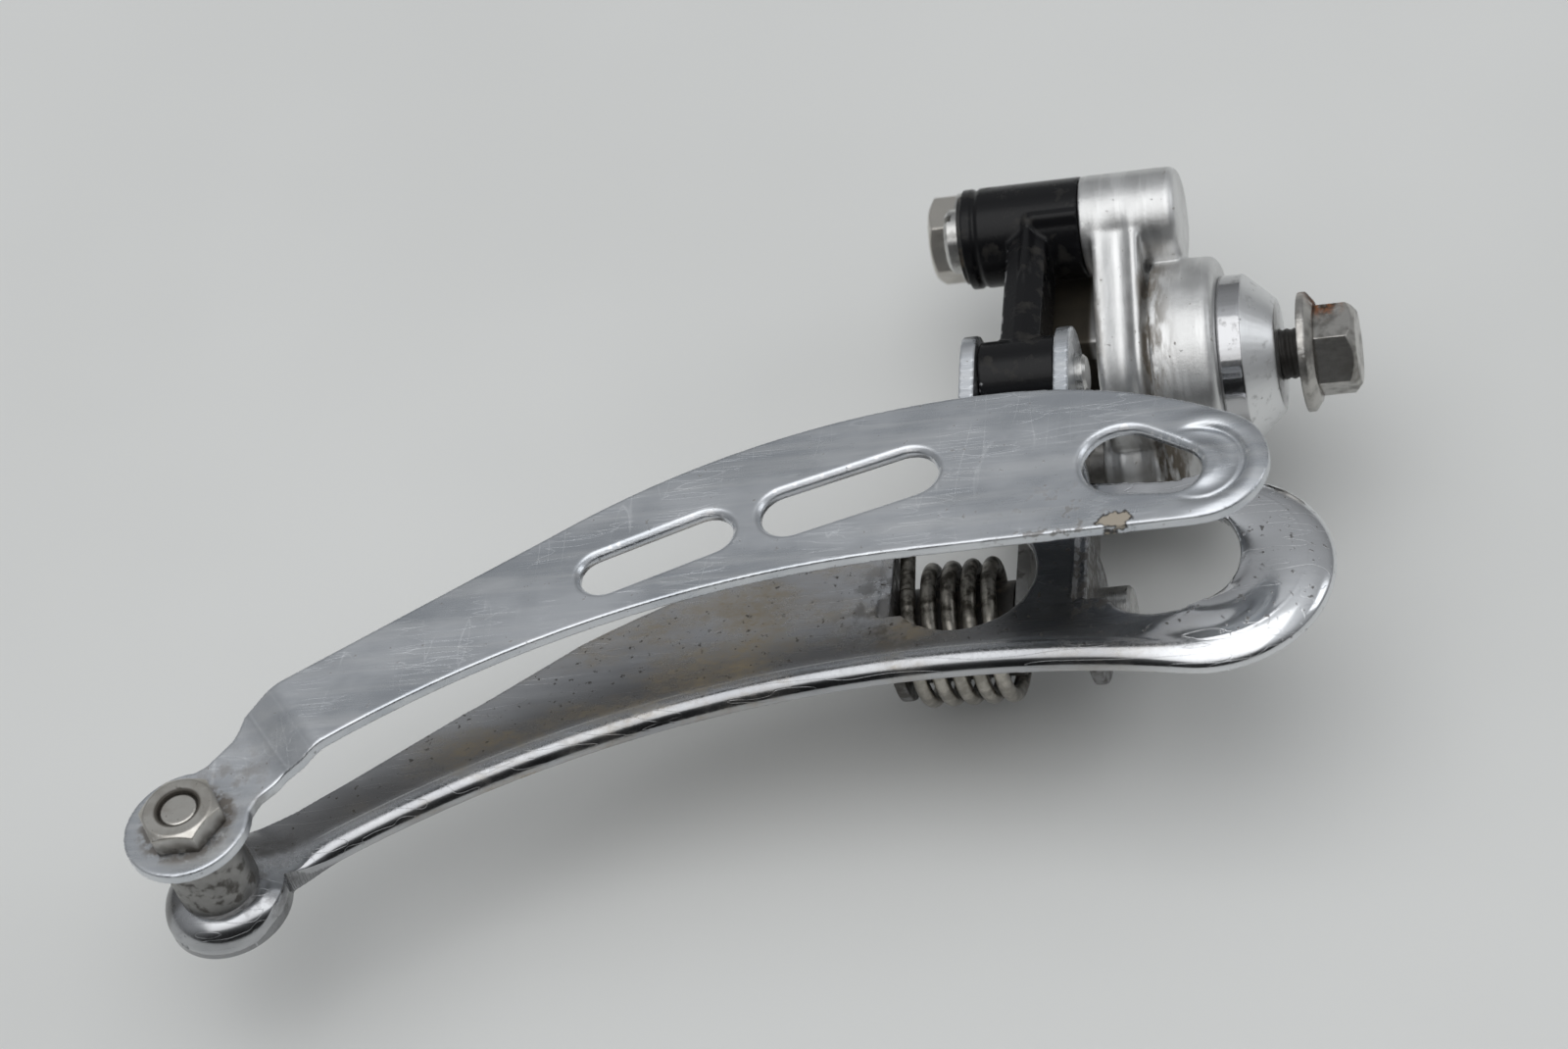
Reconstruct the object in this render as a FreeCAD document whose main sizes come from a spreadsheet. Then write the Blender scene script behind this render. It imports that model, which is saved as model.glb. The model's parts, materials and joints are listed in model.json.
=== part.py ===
"""Front derailleur for a brazed-on seat-tube hanger.

Frame: +X forward along the mounting bolt, +Y towards the seat tube, +Z up.
The origin is the centre of the flat seat that meets the hanger.  Every pivot
axis is parallel to X.  All sizes are millimetres and angles are degrees.
"""
import FreeCAD
import Part
import math
import os

import Sketcher

V = FreeCAD.Vector
doc = FreeCAD.newDocument("front_derailleur")


# --- driving dimensions ---------------------------------------------------------------

SIZES = {
    # four-bar linkage: pivot places at the rest (innermost) position
    "outer_pivot_y": -10.0,
    "upper_outer_z": 10.7,
    "link_length": 20.5,
    "inner_pivot_y": 7.0,
    "upper_inner_z": -5.8,
    "pivot_radius": 2.0,
    "running_gap": 0.05,
    # where the links meet the body
    "body_left_x": -18.1,
    "body_right_x": -8.4,
    "hub_radius": 5.0,
    "upper_hub_left_x": -29.9,
    "lower_hub_radius": 4.0,
    "lower_hub_left_x": -27.1,
    "inner_hub_left_x": -28.7,
    "inner_hub_radius": 3.2,
    "inner_arm_radius": 4.2,
    "inner_arm_left_x": -25.9,
    "inner_arm_sheet": 1.2,
    "thrust_washer": 0.4,
    "lower_hub_right_x": -19.7,
    "beam_centre_x": -23.35,
    "beam_width": 3.9,
    "beam_depth": 5.6,
    # cage plates
    "sheet": 1.2,
    "outer_face_y": -15.0,
    "tail_step": 2.4,
    "inner_face_y": -1.8,
    "eye_x": -98.9,
    "eye_z": -58.4,
    "eye_radius": 6.1,
    "bridge_top_z": -16.0,
    "ear_left_x": -28.7,
    "ear_right_x": -19.6,
    "ear_sheet": 1.5,
    "ear_radius": 4.7,
    # outer plate outline
    "crown_x": -24.1,
    "crown_z": -16.1,
    "crown_radius": 78.0,
    "brow_radius": 44.6,
    "nose_x": -3,
    "nose_z": -21.4,
    "nose_radius": 6.75,
    "chin_x": -5.2,
    "chin_z": -34.4,
    "belly_x": -30.1,
    "belly_z": -35.0,
    "belly_radius": 104.0,
    "tail_bend_x": -92.6,
    "tail_bend_z": -44.7,
    # outer plate slots: centres and radii of their round ends
    "rear_slot_left_x": -61.1,
    "rear_slot_left_z": -34.2,
    "rear_slot_right_x": -51.5,
    "rear_slot_right_z": -30.4,
    "rear_slot_radius": 2.4,
    "middle_slot_left_x": -43.8,
    "middle_slot_left_z": -28.7,
    "middle_slot_right_x": -32.6,
    "middle_slot_right_z": -25.2,
    "middle_slot_radius": 2.75,
    "front_slot_left_x": -12.3,
    "front_slot_left_z": -26.3,
    "front_slot_left_radius": 3.9,
    "front_slot_right_x": -7.9,
    "front_slot_right_z": -27.8,
    "front_slot_right_radius": 2.9,
    "slot_bevel": 0.5,
    # inner plate outline
    "keel_x": -30.2,
    "keel_z": -38.4,
    "keel_radius": 114.0,
    "loop_radius": 11.8,
    "loop_x": -6.4,
    "loop_z": -28.8718656,
    "back_radius": 110.0,
    "back_x": -17.7,
    "back_z": -16.6,
    "back_end_x": -67.7,
    "back_end_z": -30.8,
    "bead_radius": 1.7,
    "bead_width": 2.5,
    "bead_rise": 0.42,
    "lip_front": 0.63,
    "lip_depth": 0.8,
    "dish_radius": 65.0,
    "window_left_x": -38.3,
    "window_round_x": -30.3,
    "window_round_z": -26.4,
    "window_round_radius": 7.2,
    "front_window_x": -10.2,
    "front_window_z": -27.6,
    "front_window_radius": 6.8,
    "rear_ear_right_x": -19.3,
    "rear_ear_radius": 6.2,
    # return spring
    "spring_wire_radius": 0.75,
    "spring_mean_radius": 6.4,
    "spring_pitch": 1.98,
    "spring_turns": 4.5,
    "spring_right_x": -27.1,
    "spring_leg": 7.0,
    # mounting hardware
    "collar_radius": 8.3,
    "collar_band": 2.3,
    "collar_length": 5.3,
    "seat_radius": 5.8,
    "drum_radius": 10.4,
    "drum_length": 6.3,
    "neck_radius": 8.2,
    "column_radius": 4.6,
    "column_left_x": -17,
    "column_width": 4.7,
    "cast_round": 1.1,
    "bolt_radius": 2.5,
    "washer_start_x": 2.1,
    "washer_thickness": 1.5,
    "hex_flats": 8.0,
    "hex_height": 4.0,
    # tail fasteners
    "tail_thread_radius": 2.0,
    "tail_nut_flats": 7.0,
    "spacer_radius": 3.9,
    # cable anchor
    "anchor_y": -2.0,
    "anchor_z": 19.6,
    "anchor_boss_radius": 4.2,
    "anchor_left_x": -30.9,
    "anchor_right_x": -26.1,
    "anchor_flats": 8.0,
    "anchor_head": 2.9,
    "anchor_washer": 1.8,
    "anchor_washer_radius": 4.7,
    "cable_radius": 0.8,
    "cable_offset": 3.5,
    # limit screws
    "limit_x": -22.8,
    "limit_spread": 4.8,
    "limit_lug_z": 1.0,
    "limit_lug_height": 5.0,
    "limit_lug_length": 10.0,
    "limit_wall_depth": 2.6,
    "limit_wall_height": 9.6,
    "limit_spring_height": 2.5,
    "limit_wire_radius": 0.25,
    "high_limit_tip_z": -0.35,
    "limit_screw_radius": 1.5,
    "limit_head_radius": 2.5,
    "stop_thickness": 2.5,
}

sheet = doc.addObject("Spreadsheet::Sheet", "Sizes")
for row, (alias, size) in enumerate(SIZES.items(), start=1):
    sheet.set("A%d" % row, alias)
    sheet.set("B%d" % row, str(size))
    sheet.setAlias("B%d" % row, alias)
doc.recompute()


# --- formulas: sums and products of sheet cells ----------------------------------------

def is_number(word):
    return word.lstrip("-")[:1].isdigit()


def amount(formula):
    """Value of a formula such as 'eye_x + 2 * sheet - 0.5'."""
    total = 0.0
    term = None
    sign = 1.0
    operator = "*"
    for word in str(formula).split() + ["+"]:
        if word in ("+", "-"):
            if term is not None:
                total += sign * term
            term = None
            sign = -1.0 if word == "-" else 1.0
            operator = "*"
        elif word in ("*", "/"):
            operator = word
        else:
            value = float(word) if is_number(word) else SIZES[word]
            if term is None:
                term = value
            elif operator == "*":
                term *= value
            else:
                term /= value
    return total


def expression(formula):
    """The same formula with its names pointing at the sheet."""
    words = str(formula).split()
    return " ".join("Sizes." + word if word in SIZES else word for word in words)


def bind(thing, **properties):
    """Ties properties to formulas; a double underscore stands for a dot."""
    for name, formula in properties.items():
        path = name.replace("__", ".")
        if path.startswith("Placement."):
            thing.setExpression(path, expression(formula))
        else:
            setattr(thing, path, amount(formula))
            thing.setExpression(path, expression(formula))
    return thing


def place(thing, x="0", y="0", z="0"):
    """Puts a thing at a place given by three formulas."""
    rotation = thing.Placement.Rotation
    thing.Placement = FreeCAD.Placement(V(amount(x), amount(y), amount(z)), rotation)
    return bind(thing, Placement__Base__x=x, Placement__Base__y=y, Placement__Base__z=z)


# --- plain solids ----------------------------------------------------------------------

ALONG_X = FreeCAD.Rotation(V(0, 1, 0), 90)
ALONG_Y = FreeCAD.Rotation(V(1, 0, 0), -90)
ALONG_Z = FreeCAD.Rotation()


def rod(name, radius, length, x, y, z, turn=ALONG_X):
    """Cylinder that starts at x, y, z and runs along the turned axis."""
    solid = doc.addObject("Part::Cylinder", name)
    solid.Placement = FreeCAD.Placement(V(), turn)
    bind(solid, Radius=radius, Height=length)
    return place(solid, x, y, z)


def block(name, size, corner):
    """Box with its lowest corner at corner."""
    solid = doc.addObject("Part::Box", name)
    bind(solid, Length=size[0], Width=size[1], Height=size[2])
    return place(solid, *corner)


def hexagon(name, flats, length, x, y, z, turn=ALONG_X):
    """Six-sided prism given by its width across flats."""
    solid = doc.addObject("Part::Prism", name)
    solid.Polygon = 6
    solid.Placement = FreeCAD.Placement(V(), turn)
    bind(solid, Circumradius=flats + " / 1.7320508", Height=length)
    return place(solid, x, y, z)


def fuse(name, *solids):
    result = doc.addObject("Part::MultiFuse", name)
    result.Shapes = list(solids)
    result.Refine = True
    return result


def cut(name, base, *tools):
    tool = tools[0] if len(tools) == 1 else fuse(name + "_tools", *tools)
    result = doc.addObject("Part::Cut", name)
    result.Base = base
    result.Tool = tool
    result.Refine = True
    return result


def common(name, first, second):
    result = doc.addObject("Part::Common", name)
    result.Base = first
    result.Tool = second
    result.Refine = True
    return result


# --- sketches --------------------------------------------------------------------------

SKETCH_TURN = {
    "XZ": FreeCAD.Rotation(V(1, 0, 0), 90),
    "YZ": FreeCAD.Rotation(V(1, 1, 1), 120),
    "XY": FreeCAD.Rotation(),
}


def arc_through(start, end, radius, side):
    """Shorter arc from start to end that turns left (side +1) or right (side -1)."""
    chord = end - start
    middle = (start + end) * 0.5
    reach = math.sqrt(max(radius ** 2 - (chord.Length / 2) ** 2, 0.0))
    normal = V(-chord.y, chord.x, 0) / chord.Length
    centre = middle + normal * reach * side
    first, last = (start, end) if side > 0 else (end, start)
    angles = [math.atan2(p.y - centre.y, p.x - centre.x) for p in (first, last)]
    return Part.ArcOfCircle(Part.Circle(centre, V(0, 0, 1), radius), *angles)


def draw(sketch, path):
    """Closed outline of lines and arcs.

    path is a list of (across, up) corners, each followed where the next stretch
    is an arc by (radius, side).
    """
    corners = [step for step in path if not isinstance(step[1], int)]
    bends = {}
    count = 0
    for step in path:
        if isinstance(step[1], int):
            bends[count - 1] = step
        else:
            count += 1
    starts = [V(amount(c[0]), amount(c[1]), 0) for c in corners]
    ends = []
    for number, start in enumerate(starts):
        end = starts[(number + 1) % count]
        if number in bends:
            radius, side = bends[number]
            edge = sketch.addGeometry(arc_through(start, end, amount(radius), side), False)
            constraint = sketch.addConstraint(Sketcher.Constraint("Radius", edge, amount(radius)))
            sketch.setExpression("Constraints[%d]" % constraint, expression(radius))
            ends.append((edge, 1, 2) if side > 0 else (edge, 2, 1))
        else:
            edge = sketch.addGeometry(Part.LineSegment(start, end), False)
            ends.append((edge, 1, 2))
    for number, (edge, first, last) in enumerate(ends):
        following = ends[(number + 1) % count]
        sketch.addConstraint(Sketcher.Constraint("Coincident", edge, last, following[0], following[1]))
        for kind, formula in zip(("DistanceX", "DistanceY"), corners[number]):
            size = amount(formula)
            if abs(size) < 1e-9:
                on_axis = Sketcher.Constraint("PointOnObject", edge, first, -2 if kind == "DistanceX" else -1)
                sketch.addConstraint(on_axis)
                continue
            constraint = sketch.addConstraint(Sketcher.Constraint(kind, -1, 1, edge, first, size))
            sketch.setExpression("Constraints[%d]" % constraint, expression(formula))


def prism(name, plane, path, start, length):
    """Solid made by pushing an outline from start along +X, +Y or +Z."""
    profile = doc.addObject("Sketcher::SketchObject", name + "_outline")
    profile.Placement = FreeCAD.Placement(V(), SKETCH_TURN[plane])
    draw(profile, path)
    axis = {"XZ": "y", "YZ": "x", "XY": "z"}[plane]
    place(profile, **{axis: start})
    solid = doc.addObject("Part::Extrusion", name)
    solid.Base = profile
    solid.DirMode = "Custom"
    solid.Dir = {"y": V(0, 1, 0), "x": V(1, 0, 0), "z": V(0, 0, 1)}[axis]
    solid.Solid = True
    return bind(solid, LengthFwd=length)


def origin_plane(body, role):
    return [item for item in body.Origin.OriginFeatures if item.Role == role][0]


def turned(name, profile, x="0", y="0", z="0", turn=FreeCAD.Rotation()):
    """Body of revolution about its own X axis; profile is (along, radius) corners."""
    body = doc.addObject("PartDesign::Body", name)
    sketch = body.newObject("Sketcher::SketchObject", name + "_profile")
    sketch.AttachmentSupport = [(origin_plane(body, "XY_Plane"), "")]
    sketch.MapMode = "FlatFace"
    draw(sketch, profile)
    doc.recompute()
    solid = body.newObject("PartDesign::Revolution", name + "_turned")
    solid.Profile = sketch
    solid.ReferenceAxis = (sketch, ["H_Axis"])
    solid.Angle = 360.0
    sketch.Visibility = False
    body.Placement = FreeCAD.Placement(V(), turn)
    return place(body, x, y, z)


def circle_ring(length_start, length_end, inner, outer):
    """Profile of a plain sleeve for turned()."""
    return [(length_start, inner), (length_end, inner), (length_end, outer), (length_start, outer)]


def soften(name, base, radius, wanted):
    """Rounds the edges that wanted(edge) picks, at the given radius."""
    doc.recompute()
    picked = [n for n, edge in enumerate(base.Shape.Edges, start=1) if wanted(edge)]
    result = doc.addObject("Part::Fillet", name)
    result.Base = base
    result.Edges = [(n, radius, radius) for n in picked]
    return result


def bevel(name, base, depth, wanted):
    """Chamfers the edges that wanted(edge) picks."""
    doc.recompute()
    picked = [n for n, edge in enumerate(base.Shape.Edges, start=1) if wanted(edge)]
    result = doc.addObject("Part::Chamfer", name)
    result.Base = base
    result.Edges = [(n, depth, depth) for n in picked]
    return result


NODES = {}


def keep(node, thing):
    """Registers a finished sub-part under its node name."""
    thing.Label = node
    NODES[node] = thing
    return thing


# --- linkage pivots --------------------------------------------------------------------

UPPER_OUTER = ("outer_pivot_y", "upper_outer_z")
UPPER_INNER = ("inner_pivot_y", "upper_inner_z")
LOWER_OUTER = ("outer_pivot_y", "upper_outer_z - link_length")
LOWER_INNER = ("inner_pivot_y", "upper_inner_z - link_length")


def capsule(name, ends, first_radius, last_radius, start, length):
    """Plate along X whose outline hugs two round bosses at (y, z) ends."""
    (y1, z1), (y2, z2) = [(amount(y), amount(z)) for y, z in ends]
    r1, r2 = amount(first_radius), amount(last_radius)
    heading = math.atan2(z2 - z1, y2 - y1)
    lean = math.acos((r1 - r2) / math.hypot(y2 - y1, z2 - z1))
    corners = []
    for angle in (heading + lean, heading - lean):
        pair = [(y1 + r1 * math.cos(angle), z1 + r1 * math.sin(angle)),
                (y2 + r2 * math.cos(angle), z2 + r2 * math.sin(angle))]
        corners += pair if not corners else pair[::-1]
    web = prism(name + "_web", "YZ", [("%.4f" % y, "%.4f" % z) for y, z in corners], start, length)
    first = rod(name + "_first", first_radius, length, start, *ends[0])
    last = rod(name + "_last", last_radius, length, start, *ends[1])
    return fuse(name, web, first, last)


# --- fixed body casting ----------------------------------------------------------------

def rounded_rod(name, radius, length, x, y, z):
    """Cast boss along X with a rounded forward rim."""
    plain = rod(name + "_plain", radius, length, x, y, z)
    end = amount(x) + amount(length)

    def front_rim(edge):
        box = edge.BoundBox
        return box.XLength < 1e-4 and abs(box.XMin - end) < 1e-4

    return soften(name, plain, amount("cast_round"), front_rim)


def make_body():
    boss_length = "body_right_x - body_left_x"
    column = capsule("column", [UPPER_OUTER, UPPER_INNER], "column_radius", "column_radius - 0.2",
                     "column_left_x", "column_width")
    # the column widens downwards until it is tangent to the drum's neck
    flare = capsule("column_flare", [("0", "0"), UPPER_OUTER], "neck_radius + 0.4", "column_radius - 0.2",
                    "column_left_x", "column_width")
    top_boss = rounded_rod("top_boss", "hub_radius", boss_length, "body_left_x", *UPPER_OUTER)
    inner_boss = rounded_rod("inner_boss", "column_radius", boss_length, "body_left_x", *UPPER_INNER)
    drum = rounded_rod("drum", "drum_radius", "drum_length", "0 - collar_length - drum_length", "0", "0")
    neck = rod("drum_neck", "neck_radius", "drum_radius - column_width / 2", "column_left_x", "0", "0")
    saddle = capsule("saddle", [("0", "0"), UPPER_INNER], "drum_radius", "column_radius + 1.6",
                     "0 - collar_length - drum_length", "drum_length - 2")
    lug = block("limit_lug", ("limit_lug_length", "13", "limit_lug_height"),
                ("limit_x - 2.9", "inner_pivot_y - 6.5", "limit_lug_z"))
    wall = block("limit_wall", ("limit_lug_length - 0.6", "limit_wall_depth", "limit_wall_height"),
                 ("limit_x - 2.3", "outer_pivot_y + hub_radius + 0.5", "limit_lug_z - 1"))
    shelf = block("limit_shelf", ("limit_lug_length - 0.6", "6", "limit_lug_height - 1"),
                  ("limit_x - 2.3", "outer_pivot_y + hub_radius + 1", "limit_lug_z"))
    raw = fuse("body_raw", column, flare, top_boss, inner_boss, drum, neck, saddle, lug, wall, shelf)
    bores = [rod("upper_outer_bore", "pivot_radius", "8", "body_left_x - 0.5", *UPPER_OUTER),
             rod("upper_inner_bore", "pivot_radius", "8", "body_left_x - 0.5", *UPPER_INNER),
             rod("mount_bore", "bolt_radius + running_gap", "15", "-14", "0", "0")]
    for sign, name in (("-", "high"), ("+", "low")):
        bores.append(rod(name + "_limit_bore", "limit_screw_radius + running_gap", "8", "limit_x",
                         "inner_pivot_y %s limit_spread" % sign, "limit_lug_z - 1", ALONG_Z))
    keep("main_body", cut("body_bored", raw, *bores))


def make_collar():
    return keep("mount_collar", turned("collar_ring", [
        ("0 - collar_length", "bolt_radius + running_gap"),
        ("0", "bolt_radius + running_gap"),
        ("0", "seat_radius - 0.3"),
        ("0 - 0.3", "seat_radius"),
        ("collar_band - collar_length", "collar_radius"),
        ("0 - collar_length", "collar_radius")]))


def make_mount_fasteners():
    head_start = "washer_start_x + washer_thickness"
    washer = turned("mount_washer_ring", [
        ("washer_start_x", "bolt_radius"),
        (head_start, "bolt_radius"),
        (head_start, "hex_flats / 2 + 0.9"),
        ("washer_start_x + washer_thickness / 2", "seat_radius + 0.1"),
        ("washer_start_x", "seat_radius + 0.1")])
    keep("mount_washer", washer)
    shank = rod("mount_shank", "bolt_radius", "washer_start_x + washer_thickness + 11", "-11", "0", "0")
    hexagon_head = hexagon("mount_hex", "hex_flats", "hex_height", head_start, "0", "0")
    dome = turned("mount_dome", [
        (head_start + " - 1", "0"),
        (head_start + " + hex_height + 0.2", "0"),
        (head_start + " + hex_height", "hex_flats / 2 - 0.4"),
        (head_start + " + hex_height - 1", "hex_flats / 2 + 0.75"),
        (head_start + " - 1", "hex_flats / 2 + 0.75")])
    crowned = common("mount_head", hexagon_head, dome)
    keep("mount_bolt", fuse("mount_bolt_solid", shank, crowned))


# --- links -----------------------------------------------------------------------------

def make_outer_link():
    hub_length = "body_left_x - running_gap - upper_hub_left_x"
    hub = rod("outer_hub", "hub_radius", hub_length, "upper_hub_left_x", *UPPER_OUTER)
    foot = rod("outer_foot", "lower_hub_radius", "lower_hub_right_x - lower_hub_left_x",
               "lower_hub_left_x", *LOWER_OUTER)
    beam = block("outer_beam", ("beam_width", "beam_depth", "link_length"),
                 ("beam_centre_x - beam_width / 2", "outer_pivot_y - beam_depth / 2",
                  "upper_outer_z - link_length"))
    ridge = prism("outer_ridge", "XY", [
        ("beam_centre_x - beam_width / 2", "outer_pivot_y - beam_depth / 2"),
        ("beam_centre_x - 0.3", "outer_pivot_y - beam_depth / 2 - 0.9"),
        ("beam_centre_x + 0.3", "outer_pivot_y - beam_depth / 2 - 0.9"),
        ("beam_centre_x + beam_width / 2", "outer_pivot_y - beam_depth / 2")],
        "upper_outer_z - link_length", "link_length")
    lever = capsule("anchor_lever", [UPPER_OUTER, ("anchor_y", "anchor_z")], "hub_radius - 0.8",
                    "anchor_boss_radius", "anchor_left_x + 1", "anchor_right_x - anchor_left_x - 1")
    boss = rod("anchor_boss", "anchor_boss_radius", "anchor_right_x - anchor_left_x",
               "anchor_left_x", "anchor_y", "anchor_z")
    raw = fuse("outer_link_raw", hub, foot, beam, ridge, lever, boss)
    bores = [rod("outer_hub_bore", "pivot_radius + running_gap", "20", "upper_hub_left_x - 1", *UPPER_OUTER),
             rod("outer_foot_bore", "pivot_radius - 0.2 + running_gap", "12", "lower_hub_left_x - 1",
                 *LOWER_OUTER),
             rod("anchor_bore", "bolt_radius + running_gap", "12", "anchor_left_x - 1",
                 "anchor_y", "anchor_z")]
    keep("outer_link", cut("outer_link_bored", raw, *bores))


def make_inner_link():
    arms = []
    for side, start in (("left", "inner_arm_left_x"), ("right", "lower_hub_right_x - inner_arm_sheet")):
        arms.append(capsule("inner_arm_" + side, [UPPER_INNER, LOWER_INNER], "inner_arm_radius + 0.3",
                            "inner_arm_radius", start, "inner_arm_sheet"))
    hub = rod("inner_hub", "inner_hub_radius", "body_left_x - running_gap - inner_hub_left_x",
              "inner_hub_left_x", *UPPER_INNER)
    stop = block("stop_bar", ("lower_hub_right_x - inner_arm_left_x", "13", "stop_thickness"),
                 ("inner_arm_left_x", "inner_pivot_y - 6.5", "upper_inner_z - stop_thickness / 2"))
    raw = fuse("inner_link_raw", hub, stop, *arms)
    bores = [rod("inner_hub_bore", "pivot_radius + running_gap", "20", "inner_hub_left_x - 1", *UPPER_INNER),
             rod("inner_foot_bore", "pivot_radius + 0.2", "16", "inner_arm_left_x - 1", *LOWER_INNER)]
    keep("inner_link", cut("inner_link_bored", raw, *bores))


# --- pivots ----------------------------------------------------------------------------

def slotted_screw(name, head_start, head_length, head_radius, stem_radius, stem_end, pivot):
    """Screw along X with its slotted head at the rear."""
    screw = turned(name + "_turned", [
        (head_start, "0"),
        (stem_end, "0"),
        (stem_end, stem_radius),
        (head_start + " + " + head_length, stem_radius),
        (head_start + " + " + head_length, head_radius),
        (head_start + " + 0.4", head_radius),
        (head_start, head_radius + " - 0.4")], y=pivot[0], z=pivot[1])
    slot = block(name + "_slot", ("0.9", "8", "0.9"),
                 (head_start + " - 0.1", pivot[0] + " - 4", pivot[1] + " - 0.45"))
    return keep(name, cut(name + "_cut", screw, slot))


def make_pivots():
    washer = "thrust_washer"
    for name, left, pivot in (("upper_outer", "upper_hub_left_x", UPPER_OUTER),
                              ("upper_inner", "inner_hub_left_x", UPPER_INNER)):
        back = left + " - running_gap - " + washer
        slotted_screw(name + "_pivot_screw", back + " - 1.6", "1.6", "3.2", "pivot_radius",
                      "body_left_x + 7.5", pivot)
        ring = turned(name + "_washer_ring", circle_ring(back, left + " - running_gap",
                                                         "pivot_radius", "4.4"), y=pivot[0], z=pivot[1])
        keep(name + "_thrust_washer", ring)
    keep("lower_outer_pivot_pin", turned("lower_outer_pin", [
        ("ear_left_x - 0.1", "0"),
        ("ear_right_x + ear_sheet + 1", "0"),
        ("ear_right_x + ear_sheet + 1", "1.6"),
        ("ear_right_x + ear_sheet + 0.7", "1.9"),
        ("ear_right_x + ear_sheet", "1.9"),
        ("ear_right_x + ear_sheet", "pivot_radius - 0.2"),
        ("ear_left_x - 0.1", "pivot_radius - 0.2")], y=LOWER_OUTER[0], z=LOWER_OUTER[1]))
    ear_end = "rear_ear_right_x + sheet"
    keep("lower_inner_pivot_pin", turned("lower_inner_pin", [
        ("window_left_x - 1.6", "0"),
        (ear_end + " + 3.1", "0"),
        (ear_end + " + 3.1", "2.8"),
        (ear_end + " + 2.8", "3.1"),
        (ear_end, "3.1"),
        (ear_end, "pivot_radius"),
        ("window_left_x - 0.5", "pivot_radius"),
        ("window_left_x - 0.5", "pivot_radius - 0.4"),
        ("window_left_x - 1.1", "pivot_radius - 0.4"),
        ("window_left_x - 1.1", "pivot_radius"),
        ("window_left_x - 1.6", "pivot_radius")], y=LOWER_INNER[0], z=LOWER_INNER[1]))
    clip = turned("inner_pin_clip_ring", circle_ring("window_left_x - 1.05", "window_left_x - 0.55",
                                                     "pivot_radius - 0.4", "3.4"),
                  y=LOWER_INNER[0], z=LOWER_INNER[1])
    gap = block("inner_pin_clip_gap", ("2", "2.4", "5"),
                ("window_left_x - 2", "inner_pivot_y - 1.2", LOWER_INNER[1] + " - 5.5"))
    keep("lower_inner_pin_clip", cut("inner_pin_clip_open", clip, gap))
    keep("spring_sleeve", turned("spring_sleeve_ring", circle_ring(
        "window_left_x + sheet + 0.1", "inner_arm_left_x - 0.1", "pivot_radius", "4.6"),
        y=LOWER_INNER[0], z=LOWER_INNER[1]))


def make_return_spring():
    """Torsion coil around the lower inner pivot, with a straight leg at each end."""
    wire = amount("spring_wire_radius")
    mean = amount("spring_mean_radius")
    length = amount("spring_pitch") * amount("spring_turns")
    sweep = 2 * math.pi * amount("spring_turns")
    rise = amount("spring_pitch") / (2 * math.pi * mean)
    ends = []
    for angle, height, direction in ((0.0, 0.0, -1), (sweep, length, 1)):
        point = V(mean * math.cos(angle), mean * math.sin(angle), height)
        tangent = V(-math.sin(angle), math.cos(angle), rise) * direction
        tangent.normalize()
        ends.append((point, tangent))
    legs = [Part.makeCylinder(wire, amount("spring_leg"), point, tangent) for point, tangent in ends]
    helix = Part.makeLongHelix(amount("spring_pitch"), length, mean)
    profile = Part.Wire(Part.makeCircle(wire, *ends[0]))
    coil = Part.Wire(helix.Edges).makePipeShell([profile], True, True)
    result = doc.addObject("Part::Feature", "return_spring_solid")
    result.Shape = coil.fuse(legs)
    towards_left = FreeCAD.Rotation(V(0, 1, 0), V(0, 0, -1), V(-1, 0, 0), "XYZ")
    result.Placement = FreeCAD.Placement(V(), towards_left)
    place(result, "spring_right_x", *LOWER_INNER)
    keep("return_spring", result)


# --- chain cage ------------------------------------------------------------------------

# cutters for holes through the cage plates start outside them and run past both
CUTTER_START = "-25"
CUTTER_LENGTH = "40"


def slot_tool(name, left, right, left_radius, right_radius):
    """Round-ended slot cutter through both faces, from left to right (x, z) centres."""
    (x1, z1), (x2, z2) = [(amount(x), amount(z)) for x, z in (left, right)]
    r1, r2 = amount(left_radius), amount(right_radius)
    heading = math.atan2(z2 - z1, x2 - x1)
    lean = math.acos((r1 - r2) / math.hypot(x2 - x1, z2 - z1))
    corners = []
    for angle in (heading + lean, heading - lean):
        pair = [(x1 + r1 * math.cos(angle), z1 + r1 * math.sin(angle)),
                (x2 + r2 * math.cos(angle), z2 + r2 * math.sin(angle))]
        corners += pair if not corners else pair[::-1]
    middle = prism(name + "_middle", "XZ", [("%.6f" % x, "%.6f" % z) for x, z in corners], CUTTER_START,
                   CUTTER_LENGTH)
    ends = [rod(name + "_left", left_radius, CUTTER_LENGTH, left[0], CUTTER_START, left[1], ALONG_Y),
            rod(name + "_right", right_radius, CUTTER_LENGTH, right[0], CUTTER_START, right[1], ALONG_Y)]
    return fuse(name, middle, *ends)


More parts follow.
